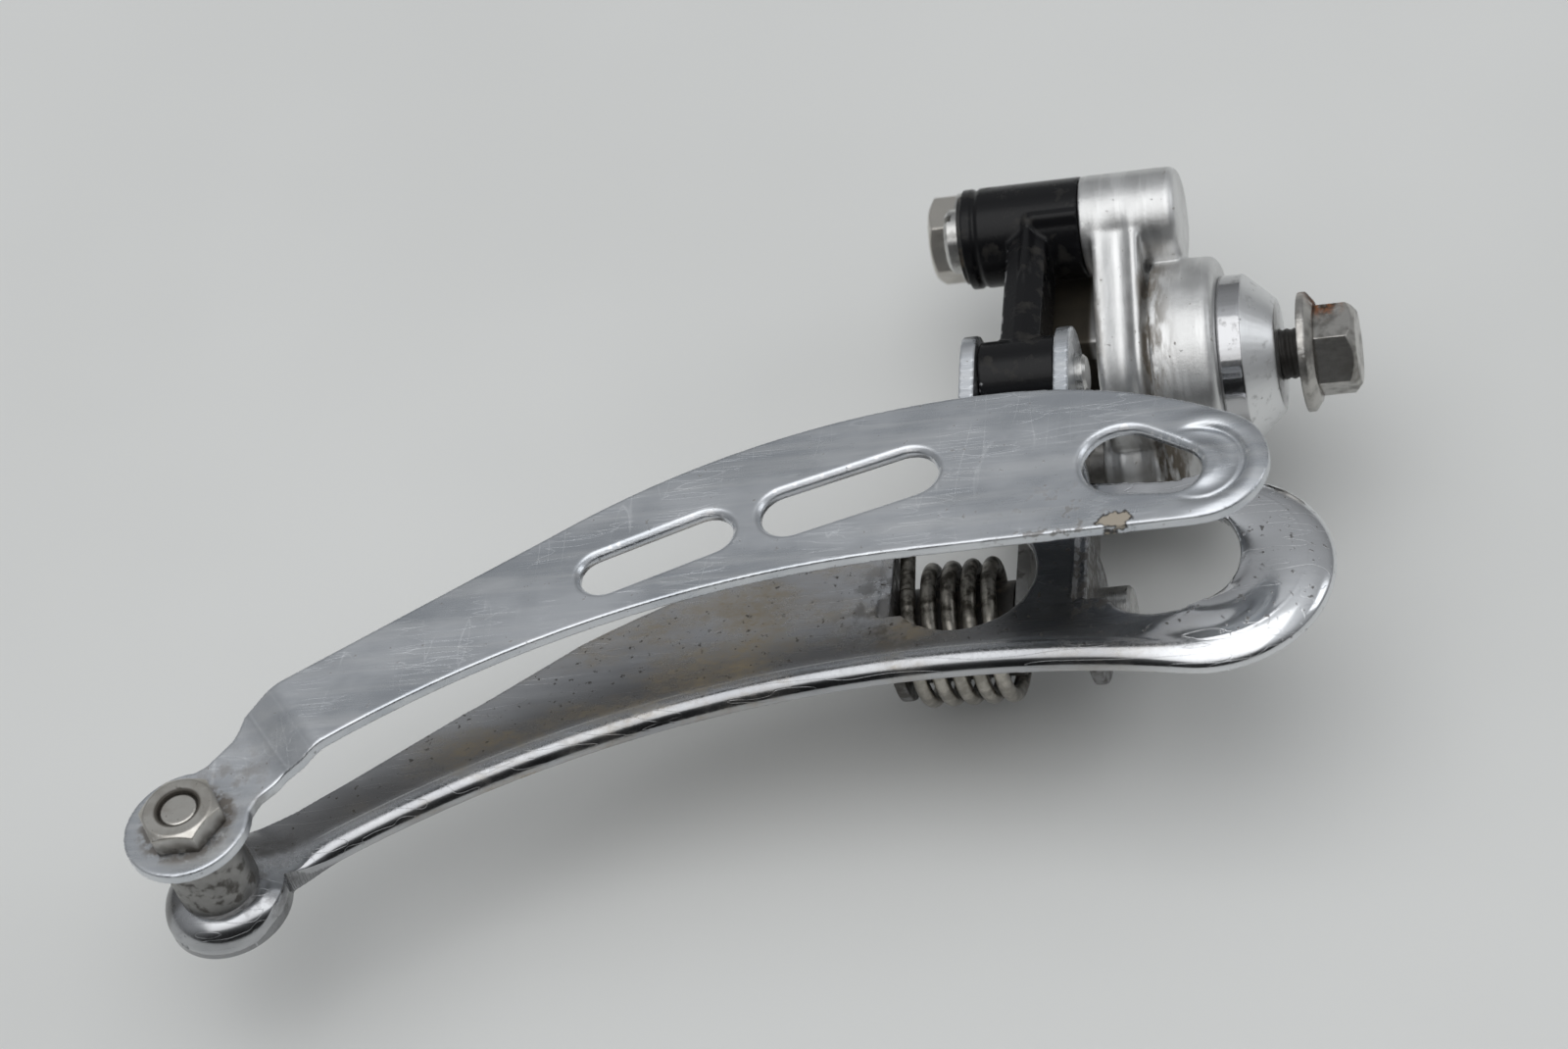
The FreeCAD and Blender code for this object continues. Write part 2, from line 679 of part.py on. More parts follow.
def make_outer_plate():
    face, back = "outer_face_y", "outer_face_y + sheet"
    outline = prism("outer_outline", "XZ", [
        ("nose_x", "nose_z"), ("nose_radius", -1),
        ("chin_x", "chin_z"),
        ("belly_x", "belly_z"), ("belly_radius", 1),
        ("tail_bend_x + 4.6", "tail_bend_z - 8.4"),
        ("tail_bend_x + 2.5", "tail_bend_z - 9.1"),
        ("eye_x + 6.6", "eye_z + 2.4"),
        ("eye_x + 4.5", "eye_z - 3"),
        ("eye_x - 3", "eye_z + 4.4"),
        ("eye_x + 0.6", "eye_z + 6.7"),
        ("eye_x + 2.7", "eye_z + 9.5"),
        ("eye_x + 3.5", "eye_z + 12"),
        ("tail_bend_x", "tail_bend_z"),
        ("crown_x - 42.9", "crown_z - 12.86"), ("crown_radius", -1),
        ("crown_x", "crown_z"), ("brow_radius", -1)], "-20", "12")
    eye = rod("outer_eye", "eye_radius", "12", "eye_x", "-20", "eye_z", ALONG_Y)
    silhouette = fuse("outer_silhouette", outline, eye)
    # the sheet seen along its bend line: the flat, a ramp, then the lower tail level
    folded = prism("outer_folded", "XY", [
        ("-30", face + " + tail_step"), ("-2.8", face + " + tail_step"), ("0", face),
        ("130", face), ("130", back), ("0.5", back), ("-2.3", back + " + tail_step"),
        ("-30", back + " + tail_step")], "-60", "140")
    folded.Placement = FreeCAD.Placement(V(), FreeCAD.Rotation(V(0, 1, 0), -35.9))
    place(folded, "tail_bend_x", "0", "tail_bend_z")
    blank = common("outer_blank", silhouette, folded)
    slots = [(name, (name + "_left_x", name + "_left_z"), (name + "_right_x", name + "_right_z"), radii)
             for name, radii in (("rear_slot", ("rear_slot_radius", "rear_slot_radius")),
                                 ("middle_slot", ("middle_slot_radius", "middle_slot_radius")),
                                 ("front_slot", ("front_slot_left_radius", "front_slot_right_radius")))]
    tools = [slot_tool(name, left, right, *radii) for name, left, right, radii in slots]
    tools.append(rod("outer_eye_bore", "tail_thread_radius", CUTTER_LENGTH, "eye_x", CUTTER_START, "eye_z",
                     ALONG_Y))
    slotted = cut("outer_slotted", blank, *tools)
    front = amount(face)

    def slot_rim(edge):
        """Slot edges on the outer face."""
        box = edge.BoundBox
        if box.YLength > 1e-4 or abs(box.YMin - front) > 1e-4:
            return False
        for _, left, right, radii in slots:
            reach = amount(radii[0]) + 0.2
            if (amount(left[0]) - reach < box.XMin and box.XMax < amount(right[0]) + reach
                    and box.ZMin > min(amount(left[1]), amount(right[1])) - reach
                    and box.ZMax < max(amount(left[1]), amount(right[1])) + reach):
                return True
        return False

    bevelled = bevel("outer_bevelled", slotted, amount("slot_bevel"), slot_rim)
    width = "ear_right_x + ear_sheet - ear_left_x"
    bridge = block("bridge", (width, "inner_face_y - outer_face_y - sheet", "sheet"),
                   ("ear_left_x", back, "bridge_top_z - sheet"))
    ears = []
    for side, start in (("left", "ear_left_x"), ("right", "ear_right_x")):
        ears.append(capsule("front_ear_" + side, [LOWER_OUTER, (LOWER_OUTER[0], "bridge_top_z + 0.6")],
                            "ear_radius", "ear_radius - 0.9", start, "ear_sheet"))
    pin_bore = rod("lower_outer_ear_bore", "pivot_radius - 0.2", "14", "ear_left_x - 1", *LOWER_OUTER)
    below = block("ear_trim", ("14", "20", "8"),
                  ("ear_left_x - 1", "outer_pivot_y - 10", "bridge_top_z - sheet - 8"))
    front_ears = cut("front_ears", fuse("front_ears_raw", *ears), pin_bore, below)
    keep("cage_outer_plate", fuse("outer_plate_solid", bevelled, bridge, front_ears))


def margin_profile(reach, rise, dished):
    """Section of the inner sheet: (distance from the edge, y) corners and arcs.

    A short lip stands at the edge, a bead rolls over it, and the face runs on flat
    or as a shallow dish.
    """
    face = "inner_face_y"
    path = [
        ("0", face + " + lip_front + lip_depth"), ("0", face + " + lip_front"), ("bead_radius", 1),
        ("bead_width", face + " - bead_rise"), ("dish_radius", -1),
        (reach, face + " - " + rise),
        (reach, face + " - " + rise + " + sheet"), ("dish_radius + sheet", 1),
        ("0.76 * bead_width", face + " + lip_front"), ("bead_radius - sheet", -1),
        ("sheet", face + " + lip_front + sheet / 6"),
        ("sheet", face + " + lip_front + lip_depth")]
    return path if dished else [step for step in path if not str(step[0]).startswith("dish")]


def revolved_sheet(name, axis_x, axis_z, edge_radius, outward, reach, rise, angle):
    """The margin profile turned about an axis along Y through (axis_x, axis_z).

    outward is +1 where the sheet lies outside its edge circle, -1 where inside.
    """
    path = []
    for step in margin_profile(reach, rise, outward > 0):
        if isinstance(step[1], int):
            path.append((step[0], step[1] * -outward))
        else:
            sign = "+" if outward > 0 else "-"
            path.append((step[1], "%s + %s %s %s" % (axis_z, edge_radius, sign, step[0])))
    profile = doc.addObject("Sketcher::SketchObject", name + "_profile")
    profile.Placement = FreeCAD.Placement(V(), SKETCH_TURN["YZ"])
    draw(profile, path)
    place(profile, x=axis_x)
    solid = doc.addObject("Part::Revolution", name)
    solid.Source = profile
    solid.Axis = V(0, 1, 0)
    solid.Base = V(amount(axis_x), 0, amount(axis_z))
    solid.Angle = angle
    solid.Symmetric = angle < 360
    solid.Solid = True
    return solid


def make_inner_plate():
    keel_axis_z = "keel_z - keel_radius"
    flank = revolved_sheet("inner_flank", "keel_x", keel_axis_z, "keel_radius", 1, "27", "1.1", 92)
    loop = revolved_sheet("inner_loop", "loop_x", "loop_z", "loop_radius", -1, "11", "0.6", 360)
    # the loop meets the flank in the plane through both their axes
    far_z = "1.2 * loop_z - 0.2 * keel_z + 0.2 * keel_radius"
    ahead = [("keel_x", keel_axis_z), ("1.2 * loop_x - 0.2 * keel_x", far_z), ("60", far_z),
             ("60", keel_axis_z)]
    seam_side = prism("inner_ahead", "XZ", ahead, "-20", "40")
    sheet_parts = fuse("inner_sheet", cut("inner_flank_part", flank, seam_side),
                       common("inner_loop_part", loop, seam_side))
    outline = prism("inner_outline", "XZ", [
        ("loop_x - 3", "loop_z + loop_radius - 0.4"),
        ("loop_x", "loop_z + loop_radius"), ("loop_radius", -1),
        ("loop_x + loop_radius", "loop_z"), ("loop_radius", -1),
        ("loop_x", "loop_z - loop_radius - 0.3"),
        ("keel_x", "keel_z - 3"),
        ("eye_x + 23.2", "eye_z + 5.4"),
        ("eye_x + 9.7", "eye_z - 2.1"),
        ("eye_x + 6.4", "eye_z - 4.2"),
        ("eye_x + 4.2", "eye_z - 4.2"),
        ("eye_x - 3.6", "eye_z + 4.5"),
        ("eye_x + 0.9", "eye_z + 6.4"),
        ("back_end_x", "back_end_z"), ("back_radius", -1),
        ("back_x", "back_z")], "-10", "20")
    eye = rod("inner_eye", "eye_radius", CUTTER_LENGTH, "eye_x", CUTTER_START, "eye_z", ALONG_Y)
    silhouette = fuse("inner_silhouette", outline, eye)
    blank = common("inner_blank", sheet_parts, silhouette)
    eye_face = "inner_face_y + 0.7"
    eye_disc = rod("inner_eye_disc", "eye_radius", "sheet", "eye_x", eye_face, "eye_z", ALONG_Y)
    eye_room = rod("inner_eye_room", "eye_radius - 0.4", CUTTER_LENGTH, "eye_x", CUTTER_START, "eye_z",
                   ALONG_Y)
    tools = [rod("spring_window_round", "window_round_radius", CUTTER_LENGTH, "window_round_x", CUTTER_START,
                 "window_round_z", ALONG_Y),
             block("spring_window_square", ("9", CUTTER_LENGTH, "9.5"),
                   ("window_left_x", CUTTER_START, "window_round_z - 4.6")),
             rod("front_window_round", "front_window_radius", CUTTER_LENGTH, "front_window_x", CUTTER_START,
                 "front_window_z", ALONG_Y),
             block("front_window_square",
                   ("front_window_x - rear_ear_right_x", CUTTER_LENGTH, "front_window_radius + 3.3"),
                   ("rear_ear_right_x", CUTTER_START, "front_window_z - 3.3"))]
    pierced = cut("inner_pierced", blank, eye_room, *tools)
    ears = []
    for side, start in (("left", "window_left_x"), ("right", "rear_ear_right_x")):
        ears.append(capsule("rear_ear_" + side, [LOWER_INNER, ("1", LOWER_INNER[1])],
                            "rear_ear_radius", "4.9", start, "sheet"))
    ear_trim = block("rear_ear_trim", ("30", "10", "30"), ("window_left_x - 2", "inner_face_y - 9.4", "-42"))
    ear_bore = rod("rear_ear_bore", "pivot_radius", "30", "window_left_x - 2", *LOWER_INNER)
    rear_ears = cut("rear_ears", fuse("rear_ears_raw", *ears), ear_trim, ear_bore)
    solid = fuse("inner_plate_raw", pierced, eye_disc, rear_ears)
    eye_bore = rod("inner_eye_bore", "tail_thread_radius", CUTTER_LENGTH, "eye_x", CUTTER_START, "eye_z",
                   ALONG_Y)
    keep("cage_inner_plate", cut("inner_plate_solid", solid, eye_bore))


def make_tail_fasteners():
    outer_eye_back = "outer_face_y + tail_step + sheet"
    inner_eye_face = "inner_face_y + 0.7"
    along_y = FreeCAD.Rotation(V(0, 0, 1), 90)
    keep("cage_spacer", turned("cage_spacer_ring", circle_ring(
        outer_eye_back, inner_eye_face, "tail_thread_radius", "spacer_radius"),
        x="eye_x", z="eye_z", turn=along_y))
    head = inner_eye_face + " + sheet"
    stem = turned("tail_bolt_stem", [
        ("outer_face_y - 0.1", "0"),
        (head + " + 2.4", "0"),
        (head + " + 2.4", "3.1"),
        (head + " + 2", "3.5"),
        (head, "3.5"),
        (head, "tail_thread_radius"),
        ("outer_face_y + 0.2", "tail_thread_radius"),
        ("outer_face_y - 0.1", "tail_thread_radius - 0.3")], x="eye_x", z="eye_z", turn=along_y)
    slot = block("tail_bolt_slot", ("8", "1", "0.9"), ("eye_x - 4", head + " + 1.5", "eye_z - 0.45"))
    keep("cage_tail_bolt", cut("tail_bolt_cut", stem, slot))
    nut_length = "tail_step"
    blank = hexagon("tail_nut_hex", "tail_nut_flats", nut_length, "eye_x", "outer_face_y", "eye_z", ALONG_Y)
    crown = turned("tail_nut_crown", [
        ("outer_face_y", "tail_thread_radius"),
        ("outer_face_y + tail_step", "tail_thread_radius"),
        ("outer_face_y + tail_step", "tail_nut_flats / 2 + 0.6"),
        ("outer_face_y + 0.5", "tail_nut_flats / 2 + 0.6"),
        ("outer_face_y", "tail_nut_flats / 2 - 0.2")], x="eye_x", z="eye_z", turn=along_y)
    keep("cage_tail_nut", common("tail_nut_solid", blank, crown))


# --- cable anchor ----------------------------------------------------------------------

def make_cable_anchor():
    washer_left = "anchor_left_x - running_gap - anchor_washer"
    disc = rod("anchor_washer_disc", "anchor_washer_radius", "anchor_washer", washer_left,
               "anchor_y", "anchor_z")
    hole = rod("anchor_washer_bore", "bolt_radius", "8", washer_left + " - 2", "anchor_y", "anchor_z")
    groove_x = "anchor_left_x - running_gap - cable_radius"
    groove = rod("cable_groove", "cable_radius", "14", groove_x, "anchor_y + cable_offset", "anchor_z - 7",
                 ALONG_Z)
    mouth = block("cable_groove_mouth", ("3", "2 * cable_radius", "14"),
                  (groove_x, "anchor_y + cable_offset - cable_radius", "anchor_z - 7"))
    keep("cable_anchor_washer", cut("anchor_washer_solid", disc, hole, groove, mouth))
    head_left = washer_left + " - anchor_head"
    stem = rod("anchor_stem", "bolt_radius", "anchor_right_x + 0.6 - anchor_left_x + anchor_washer",
               washer_left, "anchor_y", "anchor_z")
    blank = hexagon("anchor_hex", "anchor_flats", "anchor_head", head_left, "anchor_y", "anchor_z")
    crown = turned("anchor_crown", [
        (head_left, "0"),
        (washer_left, "0"),
        (washer_left, "anchor_flats / 2 + 0.7"),
        (head_left + " + 0.6", "anchor_flats / 2 + 0.7"),
        (head_left, "anchor_flats / 2 - 0.3")], y="anchor_y", z="anchor_z")
    keep("cable_anchor_bolt", fuse("anchor_bolt_solid", stem, common("anchor_head_solid", blank, crown)))


# --- limit screws ----------------------------------------------------------------------

def make_limit_screws():
    lug_top = "limit_lug_z + limit_lug_height"
    head_top = amount(lug_top + " + limit_spring_height + 1.5")
    stop_top = amount("upper_inner_z + stop_thickness / 2")
    tips = {"low": stop_top + amount("running_gap"), "high": amount("high_limit_tip_z")}
    for name, side in (("low", "+"), ("high", "-")):
        length = "%.3f" % (head_top - tips[name])
        y = "inner_pivot_y %s limit_spread" % side
        screw = turned(name + "_limit_turned", [
            ("0", "0"),
            (length, "0"),
            (length, "0.5"),
            (length + " - 1.2", "limit_screw_radius"),
            ("1.5", "limit_screw_radius"),
            ("1.5", "limit_head_radius"),
            ("0.4", "limit_head_radius"),
            ("0", "limit_head_radius - 0.5")], "limit_x", y, "%.3f" % head_top, ALONG_X)
        slot = block(name + "_limit_slot", ("0.8", "7", "0.8"),
                     ("limit_x - 0.4", y + " - 3.5", "%.3f" % (head_top - 0.7)))
        keep(name + "_limit_screw", cut(name + "_limit_cut", screw, slot))
        wire = amount("limit_wire_radius")
        mean = amount("limit_screw_radius") + wire + 0.15
        height = amount("limit_spring_height") - 2 * wire - 0.1
        helix = Part.makeLongHelix(height / 3, height, mean)
        rise = height / 3 / (2 * math.pi * mean)
        profile = Part.Wire(Part.makeCircle(wire, V(mean, 0, 0), V(0, 1, rise)))
        spring = doc.addObject("Part::Feature", name + "_limit_coil")
        spring.Shape = Part.Wire(helix.Edges).makePipeShell([profile], True, True)
        place(spring, "limit_x", y, lug_top + " + limit_wire_radius + 0.05")
        keep(name + "_limit_spring", spring)


# --- build, check and write ------------------------------------------------------------

make_body()
make_collar()
make_mount_fasteners()
make_outer_link()
make_inner_link()
make_pivots()
make_return_spring()
make_outer_plate()
make_inner_plate()
make_tail_fasteners()
make_cable_anchor()
make_limit_screws()
doc.recompute()

for thing in doc.Objects:
    if {"Invalid", "Error"} & set(thing.State):
        raise RuntimeError("%s did not compute: %s" % (thing.Name, thing.State))

os.makedirs("parts", exist_ok=True)
for node, thing in NODES.items():
    shape = thing.Shape
    if shape.isNull() or not shape.isValid() or not shape.Solids:
        raise RuntimeError(node + " has no valid solid")
    shape.exportStep("parts/%s.step" % node)
    print("%-28s %d solid(s) %9.2f mm3" % (node, len(shape.Solids), shape.Volume))
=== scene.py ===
"""Looks of a worn front derailleur lying on a pale table.

Object coordinates are the part's own frame: +X forward along the mounting bolt,
+Y towards the seat tube, +Z up.  Lengths are millimetres unless multiplied by MM.
"""
import json
import math

import bpy
import numpy as np
from mathutils import Matrix, Vector


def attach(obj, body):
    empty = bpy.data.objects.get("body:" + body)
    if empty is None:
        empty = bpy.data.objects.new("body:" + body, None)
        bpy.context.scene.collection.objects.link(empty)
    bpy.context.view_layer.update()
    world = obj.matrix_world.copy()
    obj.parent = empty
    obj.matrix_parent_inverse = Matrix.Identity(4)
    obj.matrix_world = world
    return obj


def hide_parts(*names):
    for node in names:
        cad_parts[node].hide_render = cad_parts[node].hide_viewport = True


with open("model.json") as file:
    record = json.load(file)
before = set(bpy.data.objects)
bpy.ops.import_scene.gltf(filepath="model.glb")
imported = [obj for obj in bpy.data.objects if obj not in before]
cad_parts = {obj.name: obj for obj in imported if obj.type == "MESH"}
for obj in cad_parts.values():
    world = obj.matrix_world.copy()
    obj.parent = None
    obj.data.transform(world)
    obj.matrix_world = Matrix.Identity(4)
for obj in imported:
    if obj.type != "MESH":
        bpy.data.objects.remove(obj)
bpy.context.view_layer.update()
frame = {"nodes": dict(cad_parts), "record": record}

MM = 0.001
scene = bpy.context.scene


# --- node graphs -----------------------------------------------------------------------

class Graph:
    """Short notation for a procedural material; places and distances in it are millimetres."""

    def __init__(self, name):
        self.material = bpy.data.materials.new(name)
        self.material.use_nodes = True
        self.tree = self.material.node_tree
        self.tree.nodes.clear()
        self.output = self.add("ShaderNodeOutputMaterial")
        coordinates = self.add("ShaderNodeTexCoord")
        self.place = self.vector("SCALE", coordinates.outputs["Object"], scale=1 / MM)

    def add(self, kind):
        return self.tree.nodes.new(kind)

    def put(self, socket, value):
        """Links a socket or sets a plain value."""
        if isinstance(value, bpy.types.NodeSocket):
            self.tree.links.new(value, socket)
        elif isinstance(value, (tuple, list)) and socket.type == "RGBA":
            socket.default_value = (*value, 1.0)
        else:
            socket.default_value = value

    def vector(self, operation, first, second=None, scale=None):
        node = self.add("ShaderNodeVectorMath")
        node.operation = operation
        self.put(node.inputs[0], first)
        if second is not None:
            self.put(node.inputs[1], second)
        if scale is not None:
            node.inputs["Scale"].default_value = scale
        return node.outputs["Value" if operation in ("DISTANCE", "DOT_PRODUCT", "LENGTH") else "Vector"]

    def math(self, operation, first, second=0.0):
        node = self.add("ShaderNodeMath")
        node.operation = operation
        self.put(node.inputs[0], first)
        self.put(node.inputs[1], second)
        return node.outputs[0]

    def times(self, *values):
        total = values[0]
        for value in values[1:]:
            total = self.math("MULTIPLY", total, value)
        return total

    def plus(self, *values):
        total = values[0]
        for value in values[1:]:
            total = self.math("ADD", total, value)
        return total

    def noise(self, scale, detail=3.0, stretch=(1, 1, 1), turn=(0, 0, 0), shift=0.0, rough=0.55):
        """Noise with scale features per millimetre, drawn out along an axis by a small stretch."""
        mapping = self.add("ShaderNodeMapping")
        self.put(mapping.inputs["Vector"], self.place)
        mapping.inputs["Rotation"].default_value = [math.radians(angle) for angle in turn]
        mapping.inputs["Scale"].default_value = stretch
        mapping.inputs["Location"].default_value = (shift, shift * 0.7, shift * 1.3)
        node = self.add("ShaderNodeTexNoise")
        self.put(node.inputs["Vector"], mapping.outputs["Vector"])
        node.inputs["Scale"].default_value = scale
        node.inputs["Detail"].default_value = detail
        node.inputs["Roughness"].default_value = rough
        return node.outputs["Fac"]

    def between(self, value, low, high, first=0.0, last=1.0):
        """Smooth step of value from low to high."""
        node = self.add("ShaderNodeMapRange")
        node.interpolation_type = "SMOOTHSTEP"
        self.put(node.inputs["Value"], value)
        node.inputs["From Min"].default_value = low
        node.inputs["From Max"].default_value = high
        node.inputs["To Min"].default_value = first
        node.inputs["To Max"].default_value = last
        return node.outputs["Result"]

    def near(self, point, reach, core=0.0):
        """One within core of a point, falling to nothing at reach."""
        distance = self.vector("DISTANCE", self.place, point)
        return self.between(distance, core, reach, 1.0, 0.0)

    def from_axis(self, x, z):
        """Distance from an axis along Y through (x, z)."""
        flat = self.vector("MULTIPLY", self.place, (1, 0, 1))
        return self.vector("DISTANCE", flat, (x, 0, z))

    def lines(self, scale, width, stretch, turn, shift=0.0):
        """Thin scratches: the narrow band where a drawn-out noise crosses its middle."""
        noise = self.noise(scale, 1.0, stretch, turn, shift)
        crossing = self.math("ABSOLUTE", self.math("SUBTRACT", noise, 0.5))
        return self.between(crossing, 0.0, width, 1.0, 0.0)

    def mix(self, factor, first, second):
        node = self.add("ShaderNodeMix")
        node.data_type = "RGBA"
        self.put(node.inputs[0], factor)
        self.put(node.inputs[6], first)
        self.put(node.inputs[7], second)
        return node.outputs[2]

    def edges(self, low=0.5, high=0.6):
        """Convex edges of a finely meshed piece."""
        geometry = self.add("ShaderNodeNewGeometry")
        return self.between(geometry.outputs["Pointiness"], low, high)

    def axis(self, name):
        separate = self.add("ShaderNodeSeparateXYZ")
        self.put(separate.inputs[0], self.place)
        return separate.outputs[name]

    def bump(self, height, depth, strength=1.0):
        """Normals of a relief that is depth millimetres tall."""
        node = self.add("ShaderNodeBump")
        node.inputs["Strength"].default_value = strength
        node.inputs["Distance"].default_value = depth * MM
        self.put(node.inputs["Height"], height)
        return node.outputs["Normal"]

    def surface(self, **values):
        """Principled surface; underscores in the names stand for spaces."""
        node = self.add("ShaderNodeBsdfPrincipled")
        for name, value in values.items():
            self.put(node.inputs[name.replace("_", " ")], value)
        self.tree.links.new(node.outputs["BSDF"], self.output.inputs["Surface"])
        return self.material


# --- materials -------------------------------------------------------------------------

GRIME = (0.045, 0.036, 0.026)
OIL_GOLD = (0.40, 0.31, 0.18)
RUST = (0.23, 0.085, 0.03)

# outline circles of the cage plates: (x, z) of the axis, and radius
KEEL_AXIS, KEEL_RADIUS = (-30.2, -152.4), 114.0
LOOP_AXIS, LOOP_RADIUS = (-6.4, -28.87), 11.8
NOSE_AXIS, NOSE_RADIUS = (-5.55, -27.65), 6.75
TAIL_EYE = (-98.9, -58.4)

# worn places, in millimetres; the chip is measured with x and y squeezed
CHIP = (-7.7, -4.5, -33.8)
RUST_PLACE = (4.3, -3.0, 3.0)


def outer_plate_metal():
    """Polished sheet gone satin with handling; brushed along its length, with painted reflection streaks
    along the brushing.
    """
    g = Graph("outer_plate_satin")
    brushed = g.noise(7.0, 4.0, (0.03, 1, 1), (0, -18, 0))
    brushed_streaks_and_painted_sheen = g.noise(0.75, 4.0, (0.06, 1, 1), (0, -20, 0), 41.0)
    cloud = g.noise(0.13, 4.0, (0.5, 1, 1), (0, -18, 0))
    fine = g.noise(0.9, 5.0)
    scratches = g.plus(g.lines(0.5, 0.008, (0.12, 1, 1), (0, 20, 0)),
                       g.lines(0.35, 0.006, (1, 1, 0.10), (0, 35, 0), 7.0),
                       g.lines(0.8, 0.007, (0.10, 1, 1), (0, -12, 0), 29.0),
                       g.lines(0.6, 0.007, (0.15, 1, 1), (0, -50, 0), 19.0))
    scratches = g.times(scratches, g.between(g.noise(0.15, 2.0, shift=4.0), 0.42, 0.58))
    specks = g.between(g.noise(1.6, 2.0, shift=31.0), 0.69, 0.75)
    joggle = g.times(g.near((-96, -12.5, -54.5), 7.0, 2.5),
                     g.between(g.noise(0.5, 5.0, shift=3.0), 0.44, 0.64))
    nut_ring = g.times(g.near((-98.9, -13, -58.4), 5.3, 4.2), g.between(fine, 0.36, 0.56))
    chin = g.times(g.near((-18, -15, -34.6), 9.0, 1.0), g.between(g.noise(1.1, 5.0, shift=9.0), 0.57, 0.62))
    dirt = g.math("MINIMUM", g.plus(g.times(specks, 0.6), g.times(joggle, 0.6), g.times(nut_ring, 0.9),
                                    g.times(chin, 0.7)), 1.0)
    tone = g.mix(g.between(cloud, 0.35, 0.65), (0.53, 0.555, 0.59), (0.70, 0.72, 0.75))
    # painted reflection: the brushed streaks are lightened in colour to stand in for reflection streaks along
    # the plate
    tone = g.mix(g.times(g.between(brushed_streaks_and_painted_sheen, 0.42, 0.66), 0.45), tone, (0.80, 0.81, 0.82))
    tone = g.mix(g.times(scratches, 0.22), tone, (0.93, 0.94, 0.95))
    tone = g.mix(g.times(g.edges(0.53, 0.62), 0.7), tone, (0.92, 0.92, 0.93))
    tone = g.mix(g.times(dirt, 0.85), tone, (0.13, 0.105, 0.08))
    squeezed = g.vector("MULTIPLY", g.place, (0.6, 0.3, 1.0))
    from_chip = g.plus(g.vector("DISTANCE", squeezed, CHIP), g.times(g.noise(1.3, 3.0, shift=3.0), 1.5))
    chip = g.between(from_chip, 1.55, 1.62, 1.0, 0.0)
    chip_rim = g.times(g.between(from_chip, 1.50, 1.60), g.between(from_chip, 1.66, 1.78, 1.0, 0.0))
    tone = g.mix(chip, tone, (0.44, 0.39, 0.32))
    tone = g.mix(g.times(chip_rim, 0.9), tone, (0.03, 0.025, 0.02))
    rough = g.plus(g.between(cloud, 0.3, 0.7, 0.15, 0.26), g.times(brushed, 0.10), g.times(brushed_streaks_and_painted_sheen, 0.08),
                   g.times(scratches, 0.10), g.times(dirt, 0.25), g.times(chip, 0.3))
    relief = g.plus(g.times(brushed, 0.5), g.times(brushed_streaks_and_painted_sheen, 0.8), g.times(cloud, 2.5),
                    g.times(scratches, -0.4), g.times(dirt, 0.8), g.times(chip, -4.0))
    metallic = g.math("SUBTRACT", 1.0, g.math("MAXIMUM", g.times(dirt, 0.6), g.times(chip, 0.9)))
    return g.surface(Base_Color=tone, Metallic=metallic, Roughness=rough, Normal=g.bump(relief, 0.014))


